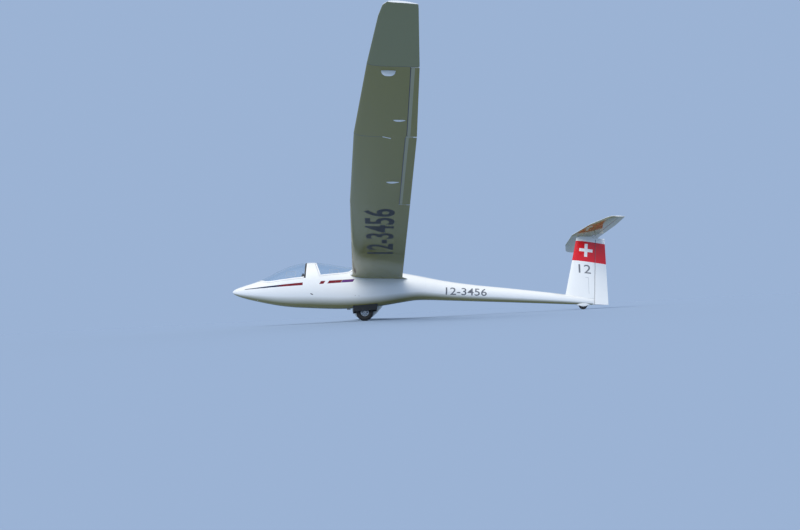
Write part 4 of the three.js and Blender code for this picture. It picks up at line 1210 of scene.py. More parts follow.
def paint_tail(graph, x, y, z, white):
    """A red band across fin and rudder with a white cross, both along a line that falls aft, the
    outline of a cover on the fin, and a dark line along the rudder's hinge."""
    look = looks()
    along = x - look.cross_x
    up = along * look.band_fall + z
    colour = graph.mix(graph.between(up, look.band_bottom, look.band_top), white, look.band_red)
    off = up - ((look.band_bottom + look.band_top) / 2 + 0.03)
    across, off = abs(along - off * look.band_fall), abs(off)
    long, wide = look.cross_size / 2, look.cross_size * 0.115
    flat = graph.between(across, -1.0, long) * graph.between(off, -1.0, wide)
    tall = graph.between(across, -1.0, wide) * graph.between(off, -1.0, long)
    colour = graph.mix(flat | tall, colour, look.gelcoat)
    upright = graph.between(x, 8.106, 8.112) * graph.between(z, 0.2, 0.585)
    level = graph.between(x, 8.035, 8.112) * graph.between(z, 0.579, 0.585)
    colour = graph.mix(upright | level, colour, (0.35, 0.36, 0.38))
    slope, foot = FIN_SURFACE.hinge
    hinge_line = graph.between(x - (z * slope + foot), -HINGE_LINE_WIDTH, -0.002)
    return graph.mix(hinge_line * graph.between(z, *RUDDER_SPAN), colour, (0.12, 0.12, 0.13))


def grained(name, colour, roughness, metallic=0.0, scale=60.0, depth=0.15, spread=0.25, coat=0.0):
    """A finish whose colour and roughness vary with grain."""
    material, graph, shader = new_material(name)
    mask, height = graph.place("Grain", graph.coordinates(), scale)
    inputs = {
        "Base Color": graph.mix(mask, [c * (1 - spread) for c in colour], colour),
        "Roughness": mask * 0.2 + (roughness - 0.1),
        "Metallic": metallic,
        "Coat Weight": coat,
        "Normal": graph.bump(height, depth, 0.002),
    }
    graph.fill(shader, inputs)
    return material


def woven(name, colour, pitch=0.0016):
    """Cloth or webbing whose threads cross at a pitch."""
    material, graph, shader = new_material(name)
    height, shade = graph.place("Weave", graph.coordinates(), pitch)
    inputs = {
        "Base Color": graph.mix(shade, [c * 0.6 for c in colour], colour),
        "Roughness": 0.92,
        "Sheen Weight": 0.35,
        "Normal": graph.bump(height, 0.35, 0.0008),
    }
    graph.fill(shader, inputs)
    return material


def acrylic():
    """Clear acrylic with a faint blue tint, which shadow rays pass as they pass thin sheet."""
    material, graph, shader = new_material("clear_acrylic")
    inputs = {
        "Base Color": (*looks().acrylic, 1),
        "Transmission Weight": 1.0,
        "Roughness": 0.0,
        "IOR": 1.3,
    }
    graph.fill(shader, inputs)
    clear = graph.add("ShaderNodeBsdfTransparent", [(0.93, 0.96, 0.98, 1)])[0]
    shadow = graph.add("ShaderNodeLightPath")[1]
    surfaces = [shadow, Value(graph, shader.outputs[0]), clear]
    mixed = graph.add("ShaderNodeMixShader", surfaces)[0]
    graph.fill(graph.tree.nodes["Material Output"], {"Surface": mixed})
    return material


PAINTERS = {
    "gelcoat": None,
    "gelcoat_nose": paint_nose,
    "gelcoat_wing": paint_wing,
    "gelcoat_tail": paint_tail,
    "gelcoat_under": paint_under,
    "gelcoat_belly": paint_belly,
    "gelcoat_hoop": paint_hoop,
}
KNOBS = {
    "knob_blue": (0.02, 0.10, 0.45),
    "knob_green": (0.02, 0.28, 0.06),
    "knob_yellow": (0.75, 0.50, 0.02),
    "knob_red": (0.50, 0.01, 0.012),
}


def make_materials():
    for name, paint in PAINTERS.items():
        MATERIALS[name] = gelcoat("white_" + name, paint)
    for name, colour in KNOBS.items():
        MATERIALS[name] = grained(name, colour, 0.35, coat=0.4)
    MATERIALS.update(
        acrylic=acrylic(),
        lining=grained("grey_lining", (0.30, 0.32, 0.34), 0.75, scale=140),
        bay=grained("bay_black", (0.015, 0.015, 0.016), 0.7),
        seat_shell=grained("moulded_seat", (0.50, 0.52, 0.53), 0.5),
        cloth=woven("blue_cloth", (0.055, 0.085, 0.14)),
        webbing=woven("harness_webbing", (0.03, 0.035, 0.05), 0.0011),
        panel=grained("panel_crackle", (0.022, 0.022, 0.024), 0.6, scale=500, depth=0.5),
        dial=grained("dial_black", (0.008, 0.008, 0.009), 0.4, depth=0.02),
        ink=grained("ink_black", (0.012, 0.012, 0.013), 0.4, depth=0.03),
        ink_grey=grained("ink_grey", (0.17, 0.18, 0.20), 0.4, depth=0.03),
        ink_white=grained("ink_white", (0.85, 0.85, 0.82), 0.5, depth=0.03, spread=0.05),
        rubber=grained("tyre_rubber", (0.03, 0.03, 0.03), 0.85, scale=90),
        leather=grained("stick_boot", (0.03, 0.028, 0.026), 0.65, scale=300, depth=0.4),
        aluminium=grained("turned_aluminium", (0.75, 0.76, 0.77), 0.35, 1.0),
        steel=grained("gear_primer", (0.30, 0.32, 0.33), 0.45, 0.1, coat=0.2),
        chrome=grained("bright_steel", (0.8, 0.8, 0.8), 0.2, 1.0, depth=0.02),
        door=grained("door_black", (0.014, 0.014, 0.015), 0.32, coat=0.3),
    )


# The add-on


def colour_property(name, description, default):
    return FloatVectorProperty(
        name=name, description=description, subtype="COLOR", size=3, default=default
    )


def length_property(name, description, default):
    return FloatProperty(name=name, description=description, unit="LENGTH", default=default)


class SailplaneLooks(bpy.types.PropertyGroup):
    """Colours and sizes of the finish."""

    gelcoat: colour_property("Gelcoat", "Colour of the polished skins", (0.86, 0.87, 0.855))
    # Painted shade: white gelcoat on the undersides painted dark olive, for shade lit from green
    # ground
    shaded: colour_property(
        "Shaded gelcoat",
        "Colour of the undersides of wings, tailplane, hull and boom",
        (0.23, 0.205, 0.055),
    )
    band_red: colour_property(
        "Tail band", "Colour of the band across fin and rudder", (0.70, 0.004, 0.010)
    )
    stripe_red: colour_property(
        "Stripe red",
        "Colour of the rear end of the nose stripe and of the red blocks",
        (0.19, 0.003, 0.006),
    )
    navy: colour_property(
        "Stripe navy", "Colour of the front end of the nose stripe", (0.012, 0.018, 0.055)
    )
    violet: colour_property("Stripe violet", "Colour of the rearmost block", (0.11, 0.022, 0.16))
    acrylic: colour_property("Canopy", "Tint of the clear canopies", (0.88, 0.94, 0.98))
    backdrop: colour_property(
        "Backdrop",
        "Colour in which floor and wall show behind the sailplane",
        (0.33, 0.45, 0.66),
    )
    band_bottom: length_property(
        "Band bottom", "Height of the band's lower edge above the nose tip, at the cross", 0.960
    )
    band_top: length_property(
        "Band top", "Height of the band's upper edge above the nose tip, at the cross", 1.445
    )
    band_fall: FloatProperty(
        name="Band fall",
        description="How far the band falls for each length that it runs aft",
        default=0.09,
    )
    cross_x: length_property(
        "Cross station", "Distance of the cross's middle from the nose tip, level", 8.080
    )
    cross_size: length_property("Cross size", "Length of each bar of the cross", 0.315)


class PieceOperator:
    bl_options = {"REGISTER", "UNDO"}

    def execute(self, context):
        self.make()
        return {"FINISHED"}


class SAILPLANE_OT_materials(PieceOperator, bpy.types.Operator):
    """Makes the finishes"""

    bl_idname = "sailplane.materials"
    bl_label = "Finishes"

    def make(self):
        make_groups()
        make_materials()


class SAILPLANE_OT_stage(PieceOperator, bpy.types.Operator):
    """Makes floor, light and camera"""

    bl_idname = "sailplane.stage"
    bl_label = "Stage"

    def make(self):
        corners = np.array([(-1, -1, 0), (1, -1, 0), (1, 1, 0), (-1, 1, 0)]) * FLOOR_REACH
        floor = object_from(corners, [(0, 1, 2, 3)])
        floor.name = "floor"
        material, graph, shader = new_material("pale_floor")
        shade = [wall / light for wall, light in zip(looks().backdrop, FLOOR_LIGHT)]
        inputs = {"Base Color": (*shade, 1), "Roughness": 1.0, "Specular IOR Level": 0.0}
        graph.fill(shader, inputs)
        floor.data.materials.append(material)
        make_sky(looks().backdrop)
        data = bpy.data.lights.new("key", "SUN")
        data.energy = KEY["energy"]
        data.angle = radians(KEY["spread"])
        data.color = KEY["colour"]
        key = linked(data)
        key.name = "key"
        key.rotation_euler = Vector(KEY["way"]).to_track_quat("-Z", "Y").to_euler()
        key.visible_glossy = False
        key.visible_transmission = False
        bpy.context.scene.view_settings.view_transform = "Standard"
        add_camera()


def make_sky(wall):
    """Light from all round: one pale wall from the floor to well above the camera's view, white
    light overhead, and a round glow high up on the key light's side."""
    world = bpy.data.worlds.new("studio")
    world.use_nodes = True
    graph = Graph(world.node_tree)
    way = graph.add("ShaderNodeTexCoord")[0]
    high = graph.smoothstep(graph.axes(way)[2], *OVERHEAD["fade"])
    towards = graph.add("ShaderNodeVectorMath", [way, GLOW["way"]], operation="DOT_PRODUCT")[1]
    glow = graph.smoothstep(towards, *GLOW["fade"])
    mixed = graph.mix(glow, graph.mix(high, wall, OVERHEAD["colour"]), GLOW["colour"])
    graph.fill(world.node_tree.nodes["Background"], [mixed])
    bpy.context.scene.world = world


def add_camera():
    """Stands at floor level to port and a little ahead of abeam, and looks slightly up."""
    target = parked([CAMERA["station"], 0, 0.1])
    turn = radians(CAMERA["azimuth"])
    away = Vector((sin(turn), -cos(turn), 0)) * CAMERA["distance"]
    place = Vector((target[0], target[1], 0)) + away
    place.z = CAMERA["height"]
    data = bpy.data.cameras.new("camera")
    data.sensor_width = 36.0
    data.lens = CAMERA["focal"] * data.sensor_width / PHOTO_WIDTH
    data.clip_end = 3000
    camera = linked(data)
    camera.name = "camera"
    look = Vector((-away.x, -away.y, 0)).normalized()
    look.z = tan(radians(CAMERA["tilt"]))
    face = look.to_track_quat("-Z", "Y").to_matrix()
    face = face @ Matrix.Rotation(radians(CAMERA["roll"]), 3, "Z")
    camera.matrix_world = Matrix.Translation(place) @ face.to_4x4()
    bpy.context.scene.camera = camera


class SAILPLANE_OT_fuselage(PieceOperator, bpy.types.Operator):
    """Makes the fuselage skin with its cockpit and wheel bay, and the tail boom"""

    bl_idname = "sailplane.fuselage"
    bl_label = "Fuselage"

    def make(self):
        bay, edges = WHEEL_BAY, canopy_edges()
        shell = combine(hull_solid(0, BOOM_JOINT_X), "UNION", root_fairing(-1), root_fairing(1))
        cut(
            shell,
            hull_solid(COCKPIT_FRONT_X, COCKPIT_REAR_X, COCKPIT_WALL),
            above_edge(edges["front"], 0),
            above_edge(edges["rear"], 0),
            box_solid((bay["front"], -bay["half"], -0.6), (bay["rear"], bay["half"], bay["roof"])),
        )
        x, y, z = read(shell.data.polygons, "center").T
        half, up = hull_section(x, z)
        inside = (np.hypot(y / half, up) < 0.985) & (np.abs(y) < 0.4)
        faces = np.where(inside, np.where(x > COCKPIT_REAR_X + 0.005, 2, 1), 0)
        finishes = "gelcoat_nose lining bay"
        dress("fuselage_skin", shell, finishes, "fuselage_shell", faces=faces)
        boom = hull_solid(BOOM_JOINT_X + SEAT_GAP, BOOM_END_X, step=0.04)
        cut(boom, FIN_SURFACE.cove(-0.3, 1.5), tail_wheel_room())
        dress("boom_skin", boom, "gelcoat_belly", "tail_boom")
        fairing = tail_fairing()
        cut(fairing, boom_seat(), tail_wheel_room())
        dress("tail_wheel_blister", fairing, "gelcoat", "tail_wheel_fairing")


class SAILPLANE_OT_canopies(PieceOperator, bpy.types.Operator):
    """Makes both canopies: a frame along the sill, a clear bubble, a vent window and latches"""

    bl_idname = "sailplane.canopies"
    bl_label = "Canopies"

    def make(self):
        inner = MOVING_GAP + CANOPY_FRAME_WIDTH
        for label, edge in canopy_edges().items():
            body = "canopy_" + label
            rim = canopy_shell(CANOPY_FRAME_DEPTH, above_edge(edge, MOVING_GAP))
            cut(rim, above_edge(edge, inner))
            paint = "gelcoat_hoop" if label == "front" else "gelcoat"
            dress("canopy_rim_" + label, rim, paint, "canopy_frame_" + label, body)
            bubble = canopy_shell(CANOPY_GLASS, above_edge(edge, inner + SEAT_GAP))
            name, node = "canopy_bubble_" + label, "canopy_glass_" + label
            dress(name, bubble, "acrylic", node, body)
        for label, corners in VENTS.items():
            vent_window(label, *corners)
        for label, x in LATCHES.items():
            latch(label, x)


def vent_window(label, low, high):
    """The frame of a sliding vent on the port side: a rounded loop carried along the bubble's
    skin, which it follows station by station."""
    low, high = np.array(low), np.array(high)
    loop = rounded(*(high - low), 0.02, 6) + (low + high) / 2
    loop = np.column_stack([np.arange(len(loop) + 1), np.vstack([loop, loop[:1]])])
    _, x, z = straight_columns(loop, np.linspace(0, len(loop) - 1, 161))[:-1].T
    middle = np.stack([x, -(hull_side(x, z) + 0.0004), z], 1)
    along = unit(np.roll(middle, -1, 0) - np.roll(middle, 1, 0))
    side = unit(np.cross(along, (0, 1, 0)))
    half, out, into = 0.0022, 0.0012, -0.0008
    section = np.array([(-half, out), (half, out), (half, into), (-half, into)])
    points = middle + section[:, :1, None] * side + section[:, 1:, None] * np.array([0, 1.0, 0])
    ring = solid_from_grid(points, ring=True)
    dress("vent_window_" + label, ring, "seat_shell", body="canopy_" + label)


def latch(label, x):
    """A lever on the inside of the port frame with a white knob, and a red jettison grip beside
    the hinge on the other."""
    for side, kind, finish in ((-1, "latch", "ink_white"), (1, "release", "knob_red")):
        z = sill(x) + 0.022
        y = hull_y(side, x, z, CANOPY_FRAME_DEPTH + 0.001)
        end = (x + 0.05, y - side * 0.034, z + 0.004)
        path = [(x, y, z), (x, y - side * 0.028, z + 0.006), end]
        arm = swept(smoothed(path, 12), circle(0.0045))
        ball = [(0.0004, -0.014), (0.0085, -0.012), (0.0115, 0.0), (0.0085, 0.012), (0.0004, 0.014)]
        grip = turned(ball, (x + 0.062, *end[1:]), ABOUT_X, 20)
        name, body = f"canopy_{kind}_{label}", "canopy_" + label
        dress(name, [arm, grip], finish, body=body, crease=50)


class SAILPLANE_OT_wings(PieceOperator, bpy.types.Operator):
    """Makes the wing panels, tips, ailerons, airbrakes and tip skids"""

    bl_idname = "sailplane.wings"
    bl_label = "Wings"

    def make(self):
        for side, label in SIDES:
            wing = Surface(WING, wing_place(side))
            middle, axes, length = brake_frame(side)
            for part, start, end, (inboard, outboard, fraction), horn in PANELS:
                wing.hinge = chord_line(inboard, outboard, fraction)
                panel = cut(wing.whole(start + SEAT_GAP, end), wing.cove(inboard, outboard))
                if part == "inner":
                    room = tee_outline(MOVING_GAP, SEAT_GAP, 0.06)
                    cut(panel, carried(room, middle, axes, length + 2 * MOVING_GAP))
                fairing = horn_fairing(side, *horn)
                dress(f"horn_fairing_{part}_{label}", fairing, "gelcoat")
                name, node = f"wing_{part}_skin_{label}", f"wing_{part}_{label}"
                dress(name, panel, "gelcoat_wing", node)
                flap = wing.flap(inboard + MOVING_GAP, outboard - MOVING_GAP)
                name, node = f"aileron_{part}_skin_{label}", f"aileron_{part}_{label}"
                dress(name, flap, "gelcoat_wing", node, node)
            tip = wing.whole(TIP_JOINT_Y + SEAT_GAP, WING_TIP_Y, step=0.05)
            dress("wing_tip_skin_" + label, tip, "gelcoat_wing", "wing_tip_" + label)
            airbrake("airbrake_" + label, "brake_plate_" + label, middle, axes, length)
            skid = tip_skid(side)
            dress("tip_skid_blade_" + label, skid, "gelcoat", "tip_skid_" + label)


def airbrake(node, name, middle, axes, length):
    """A cap over a blade with a row of round holes; the cap is white, the blade bare metal."""
    aft, up, along = axes
    plate = carried(tee_outline(0, 0, 0), middle, axes, length)
    holes = BRAKE_HOLES
    for k in range(holes["count"]):
        off = (k - (holes["count"] - 1) / 2) * holes["pitch"]
        at = middle + along * off - up * holes["down"]
        cut(plate, drum(holes["radius"], -0.02, 0.02, at, (along, up, aft), 20))
    height = (read(plate.data.polygons, "center") - middle) @ up
    below = height < -BRAKE_CAP["depth"] - 0.0005
    dress(name, plate, "gelcoat aluminium", node, node, faces=below)


class SAILPLANE_OT_tail(PieceOperator, bpy.types.Operator):
    """Makes fin, rudder, tailplane and elevator"""

    bl_idname = "sailplane.tail"
    bl_label = "Tail"

    def make(self):
        tip, reach = TAILPLANE[-1, 0], ELEVATOR_HALF_SPAN
        wide = reach + MOVING_GAP
        plane = cut(TAIL_SURFACE.whole(-tip, tip, step=0.05), TAIL_SURFACE.cove(-wide, wide))
        dress("tailplane_skin", plane, "gelcoat_under", "tailplane")
        flap = TAIL_SURFACE.flap(-reach, reach)
        dress("elevator_skin", flap, "gelcoat_under", "elevator", "elevator")
        fin = FIN_SURFACE.whole(0.02, TAILPLANE_Z, step=0.05)
        cut(
            fin,
            boom_seat(),
            TAIL_SURFACE.whole(-0.3, 0.3, growth=SEAT_GAP),
            box_solid((8.255, -0.2, FIN_CAP_Z), (8.7, 0.2, 1.8)),
            FIN_SURFACE.cove(-0.3, RUDDER_SPAN[1] + MOVING_GAP),
            box_solid((8.0, -0.3, -0.2), (8.7, 0.3, 0.095)),
        )
        dress("fin_skin", fin, "gelcoat_tail", "fin")
        rudder = FIN_SURFACE.flap(*RUDDER_SPAN)
        dress("rudder_skin", rudder, "gelcoat_tail", "rudder", "rudder")


class SAILPLANE_OT_markings(PieceOperator, bpy.types.Operator):
    """Lays plain figures on the wings, boom and fin, and small ports on the hull"""

    bl_idname = "sailplane.markings"
    bl_label = "Markings"

    def make(self):
        for side, label in SIDES:
            figures(on_wing, "wing_" + label, side)
        for side, label in SIDES:
            figures(on_boom, "boom_" + label, side)
            figures(on_fin, "fin_" + label, side)
            for name, x, z, *shape in PORTS:
                laid(f"{name}_{label}", disc_flat(*shape), on_hull(side, x, z), "ink", 0.02)


def figures(surface, name, side):
    text, height, length, weight, start, finish = FIGURES[name]
    drawn = lettering(text, height, length, weight)
    laid("figures_" + name, drawn, surface(side, start), finish)


class SAILPLANE_OT_wheels(PieceOperator, bpy.types.Operator):
    """Makes tyres with grooved treads, hubs with bolts, and axle nuts"""

    bl_idname = "sailplane.wheels"
    bl_label = "Wheels"

    def make(self):
        for name, spec in WHEELS.items():
            wheel(name, spec)
        for side, label in SIDES:
            nut = drum(0.019, 0, side * 0.004, MAIN_AXLE + (0, side * 0.106, 0), segments=6)
            dress("axle_nut_" + label, nut, "chrome")


def wheel(prefix, spec):
    """A tyre, and a hub with a ring of round holes and a ring of bolts on each face."""
    axle, (count, far) = spec["axle"], spec["holes"]
    tyre = turned(tyre_profile(spec), axle, segments=96, ring=True)
    dress(prefix + "_cover", tyre, "rubber", prefix + "_tyre", prefix, crease=40)
    hub = turned(hub_profile(spec), axle, segments=72, ring=True)
    room = spec["rim"] - spec["bore"]
    size = room * 0.15
    for x, z in circle(spec["bore"] + room * far, count):
        cut(hub, drum(size, -0.2, 0.2, axle + (x, 0, z)))
    parts = [hub]
    flat = spec["width"] * 0.15
    for k in range(RIM_BOLTS):
        x, z = on_circle(2 * pi * (k + 0.5) / RIM_BOLTS) * (spec["bore"] + room * 0.27)
        for way in (-1, 1):
            ends = way * (flat - 0.001), way * (flat + 0.005)
            parts.append(drum(size * 0.45, *ends, axle + (x, 0, z), segments=6))
    dress(prefix + "_rim", parts, "aluminium", prefix + "_hub", prefix)


def tyre_profile(spec):
    """Half the carcass is a smooth curve from bead to tread, with two grooves sunk in the tread,
    and is mirrored to the whole one."""
    half, tread = spec["width"] / 2, spec["radius"] - spec["rim"]
    shares = [(0.30, 0.94), (0.60, 1.00), (0.86, 0.76), (0.965, 0.48), (1, 0.20), (1, 0)]
    points = [(spec["rim"] + SEAT_GAP, 0.62)]
    points += [(spec["rim"] + tread * up, wide) for up, wide in shares]
    curve = smoothed(points, 49) * (1, half)
    curve[:, 0] = np.minimum(curve[:, 0], spec["radius"])
    edges = (-0.034, -0.024, 0.024, 0.034)
    extra = np.array([place + edge for place in TREAD_GROOVES for edge in edges]) * half
    shape = np.interp(extra, curve[::-1, 1][:30], curve[::-1, 0][:30])
    curve = np.vstack([curve, np.stack([shape, extra], 1)])
    top = curve[:, 0] > spec["rim"] + tread * 0.8
    upper = curve[top]
    upper = upper[np.argsort(-upper[:, 1])]
    for place in TREAD_GROOVES:
        upper[np.abs(upper[:, 1] - place * half) < 0.03 * half, 0] -= tread * 0.045
    right = np.vstack([curve[~top], upper])
    return np.vstack([right[:-1], right[::-1] * (1, -1)])


def hub_profile(spec):
    """Half the hub from bore to rim, mirrored."""
    bore, rim, half = spec["bore"], spec["rim"], spec["width"] / 2
    side = [
        (bore, spec["hub"]),
        (bore + 0.014, spec["hub"]),
        (bore + 0.016, half * 0.30),
        (rim - 0.012, half * 0.34),
        (rim - 0.008, half * 0.60),
        (rim, half * 0.60),
    ]
    return side + [(r, -y) for r, y in reversed(side)]


class SAILPLANE_OT_seats(PieceOperator, bpy.types.Operator):
    """Makes cushions and headrests as stuffed cloth, and the harness that lies on them"""

    bl_idname = "sailplane.seats"
    bl_label = "Seats"

    def make(self):
        for label in SEATS:
            x, z = SEATS[label]["head"]
            pad = seat_pad(label, z - CUSHION_BELOW_HEAD)
            outline = [(-0.056, -0.024), (-0.014, -0.024), (0.024, 0.106), (-0.008, 0.112)]
            block = prism(np.add(outline, (x, z)), -0.086, 0.086)
            modify(block, "BEVEL", width=0.012, segments=3)
            padded_piece("head_pad_" + label, block, 0.008, "headrest_" + label)
            harness(label, pad)


def seat_path(label, count):
    """The line that the seat's shell follows under the cushion: points, and the way off it,
    turned slowly where the pan meets the backrest."""
    pan, foot, head = (np.array(SEATS[label][key]) for key in ("pan", "foot", "head"))
    corners = np.array([pan, foot + (-0.04, 0), foot + (0.02, 0.04), head])
    along = np.diff(corners, axis=0)
    length = np.concatenate([[0], np.cumsum(np.linalg.norm(along, axis=1))])
    at = np.linspace(0, length[-1], count)
    points = straight_columns(np.column_stack([length, corners]), at)[:, 1:]
    middles = (length[:-1] + length[1:]) / 2
    normal = straight_columns(np.column_stack([middles, left_of(along)]), at)[:, 1:]
    return points, unit(normal), at


def seat_pad(label, top):
    """A cushion along the seat, as wide as the cockpit lets it be, with sewn channels across it
    and along it: furrows that follow a bell curve of the distance."""
    points, normal, _ = seat_path(label, 60)
    low = points + normal * (SEAT_THICK + SWELL_BELOW)
    high = points + normal * (SEAT_THICK + CUSHION_THICK - SWELL_ABOVE)
    keep = high[:, 1] < top
    outline = np.vstack([low[keep], high[keep][::-1]])
    cushion = prism(outline, -CUSHION_HALF, CUSHION_HALF)
    room = hull_solid(COCKPIT_FRONT_X, COCKPIT_REAR_X, COCKPIT_WALL + 0.008)
    combine(cushion, "INTERSECT", room)
    middle = points + normal * (SEAT_THICK + CUSHION_THICK)

    def channels(p):
        deep = sum(0.004 * np.exp(-(((p[:, 1] - y) / 0.005) ** 2)) for y in SEAMS_ACROSS)
        for share in SEAMS_ALONG:
            k = int(share * (len(middle) - 1))
            off = p[:, [0, 2]] - middle[k]
            along = np.where(np.abs(off @ normal[k]) < 0.05, off @ (normal[k][1], -normal[k][0]), 1)
            deep = deep + 0.006 * np.exp(-((along / 0.006) ** 2))
        return deep

    return padded_piece("seat_pad_" + label, cushion, 0.012, "seat_cushion_" + label, channels)


def padded_piece(name, piece, cap, node, channels=None):
    """Swells a closed shape as stuffed cloth, rounds it, and sinks sewn channels into it."""
    swell(piece, cap)
    modify(piece, "SUBSURF", levels=1, render_levels=1)
    if channels:
        points = vertices_of(piece)
        normals = read(piece.data.vertices, "normal")
        set_vertices(piece, points - normals * channels(points)[:, None])
    dress(name, piece, "cloth", node, crease=180)
    return piece


def swell(piece, cap):
    """Cloth under pressure, twenty frames from rest, no gravity; no point moves past the cap."""
    modify(piece, "REMESH", mode="VOXEL", voxel_size=0.007)
    rest = vertices_of(piece)
    cloth = piece.modifiers.new("cloth", "CLOTH")
    cloth.settings.use_pressure = True
    cloth.settings.uniform_pressure_force = 4.0
    cloth.settings.effector_weights.gravity = 0.0
    cloth.settings.quality = 4
    cloth.point_cache.frame_start = 1
    cloth.point_cache.frame_end = 20
    scene = bpy.context.scene
    for number in range(1, 21):
        scene.frame_set(number)
    made = piece.evaluated_get(bpy.context.evaluated_depsgraph_get())
    shift = read(made.data.vertices, "co") - rest
    length = np.linalg.norm(shift, axis=1)[:, None]
    piece.modifiers.clear()
    scene.frame_set(1)
    set_vertices(piece, rest + shift * np.minimum(1, cap / np.maximum(length, 1e-9)))


def harness(label, pad):
    """Two shoulder straps from the top of the backrest and two lap straps from its foot, all to
    one round buckle on the pan. Each lies on the cushion, on which it is dropped point by point
    along the way off the seat."""
    tree = BVHTree.FromPolygons(
        ((vertices_of(pad) - NOSE_TIP) @ TURN).tolist(),
        [tuple(polygon.vertices) for polygon in pad.data.polygons],
    )
    points, normal, at = seat_path(label, 120)
    line = np.column_stack([at, points, normal])

    def drop(s, y, lift):
        _, x, z, *n = straight_columns(line, s)[0]
        n = np.insert(unit(np.array(n)), 1, 0)
        start = np.array([x, y, z])
        hit = tree.ray_cast(Vector(start + n * 0.15), Vector(-n), 0.3)[0]
        return np.array(start + n * 0.06 if hit is None else hit) + n * lift, n

    total = at[-1]
    foot = np.linalg.norm(np.subtract(SEATS[label]["foot"], SEATS[label]["pan"]) + (-0.04, 0))
    buckle, top = foot - BUCKLE_AHEAD, total - 0.075
    shoulder = [(top, 0.135), (total * 0.7, 0.085), (foot + 0.05, 0.035), (buckle + 0.02, 0.014)]
    lap = [(foot + 0.03, 0.195), (foot - 0.03, 0.12), (buckle, 0.02)]
    straps = []
    for route, lift in ((shoulder, 0.0045), (lap, 0.0030)):
        for side, _ in SIDES:
            spots = [drop(s, side * y, lift) for s, y in smoothed(route, 46)]
            path, ways = (np.array(part) for part in zip(*spots))
            longer = np.vstack([path[:1], path, path[-1:]])
            path = (longer[:-2] + longer[1:-1] * 2 + longer[2:]) / 4
            across = unit(np.cross(np.gradient(path, axis=0), ways))
            section = rounded(*STRAP, 0.001, 3)
            flat = section[:, :1] * across[:, None] + section[:, 1:] * ways[:, None]
            straps.append(solid_from_grid(path[:, None] + flat))
    dress("harness_" + label, straps, "webbing", crease=60)
    spot, way = drop(buckle, 0.0, 0.006)
    side = np.array([0, 1.0, 0])
    front = np.cross(side, way)
    profile = [(0.030, -0.004), (0.033, 0.0), (0.033, 0.008), (0.029, 0.012), (0.012, 0.013)]
    parts = [turned(profile, spot, (side, front, way), 40)]
    for across, reach in on_circle(pi / 4 + np.arange(4) * pi / 2):
        tongue = side * across + front * reach
        axes = (np.cross(way, tongue), way, tongue)
        parts.append(carried(rounded(0.026, 0.003, 0.001, 3), spot + tongue * 0.042, axes, 0.03))
    dress("buckle_" + label, parts, "chrome", crease=40)


class SAILPLANE_OT_instruments(PieceOperator, bpy.types.Operator):
    """Makes the dials with bezels, ticks, figures and pointers, and a small display"""

    bl_idname = "sailplane.instruments"
    bl_label = "Instruments"

    def make(self):
        for label in CONSOLES:
            instruments(label)
        grip = [(0.0004, 0.012), (0.009, 0.013), (0.011, 0.020), (0.009, 0.028), (0.0004, 0.029)]
        for label, (x, low, _) in CONSOLES.items():
            at = (x + PANEL_LEAN * 0.95, -0.115, low + 0.018)
            stem = drum(0.0035, -0.004, 0.014, at, ABOUT_X, 12)
            parts = [stem, turned(grip, at, ABOUT_X, 24)]
            dress("tow_release_knob_" + label, parts, "knob_yellow", crease=50)


def instruments(label):
    """Dials and display, made flat with x to starboard, y up the panel and z out of it, and then
    put on the panel."""
    bezels, faces, marks, glasses = [], [], [], []
    screw = [(0.0024, 0.0004), (0.0024, 0.002), (0.0015, 0.0028)]
    for u, v, radius, pointer, most, ticks in DIALS[label]:
        at, inner = np.array([u, v, 0]), radius * 0.86
        rim = [(inner, 0.001), (radius, 0.001), (radius, 0.006), (radius * 0.95, 0.0085)]
        bezels.append(turned(rim + [(inner, 0.0085)], at, ABOUT_Z, ring=True))
        for k in range(4):
            spot = at + spoke(pi / 4 + k * pi / 2) * radius * 1.17
            bezels.append(turned(screw, spot, ABOUT_Z, 12))
        faces.append(drum(radius * 0.87, 0.0012, 0.0022, at, ABOUT_Z, 48))
        glasses.append(drum(radius * 0.855, 0.0062, 0.0072, at, ABOUT_Z, 48))
        marks.extend(dial_marks(at, inner, pointer, most, ticks))
    u, v, wide, tall = DISPLAYS[label]
    bezels.append(carried(rounded(wide, tall, 0.003), (u, v, 0.003), ABOUT_Z, 0.0055))
    screen = rounded(wide * 0.62, tall * 0.62, 0.001)
    faces.append(carried(screen, (u - wide * 0.1, v, 0.0062), ABOUT_Z, 0.001))
    knob = [(0.004, 0.0), (0.004, 0.006), (0.0032, 0.007)]
    for way in (-1, 1):
        marks.append(turned(knob, (u + wide * 0.36, v + way * tall * 0.2, 0.005), ABOUT_Z, 16))
    x, low, high = CONSOLES[label]
    up = unit(np.array([-PANEL_LEAN, 0, high - low]))
    axes = np.array([(0, 1, 0), up, np.cross((0, 1, 0), up)])
    middle = (x + PANEL_LEAN / 2, 0, (low + high) / 2)
    groups = (
        ("bezels", bezels, "dial", "panel"),
        ("faces", faces, "ink", "panel"),
        ("marks", marks, "ink_white", "hub"),
        ("glasses", glasses, "acrylic", "canopy"),
    )
    for name, parts, finish, slot in groups:
        whole = gather(parts)
        set_vertices(whole, vertices_of(whole) @ axes + middle)
        dress(f"instrument_{name}_{label}", whole, finish, crease=40)


def spoke(turn):
    return np.array([cos(turn), sin(turn), 0])


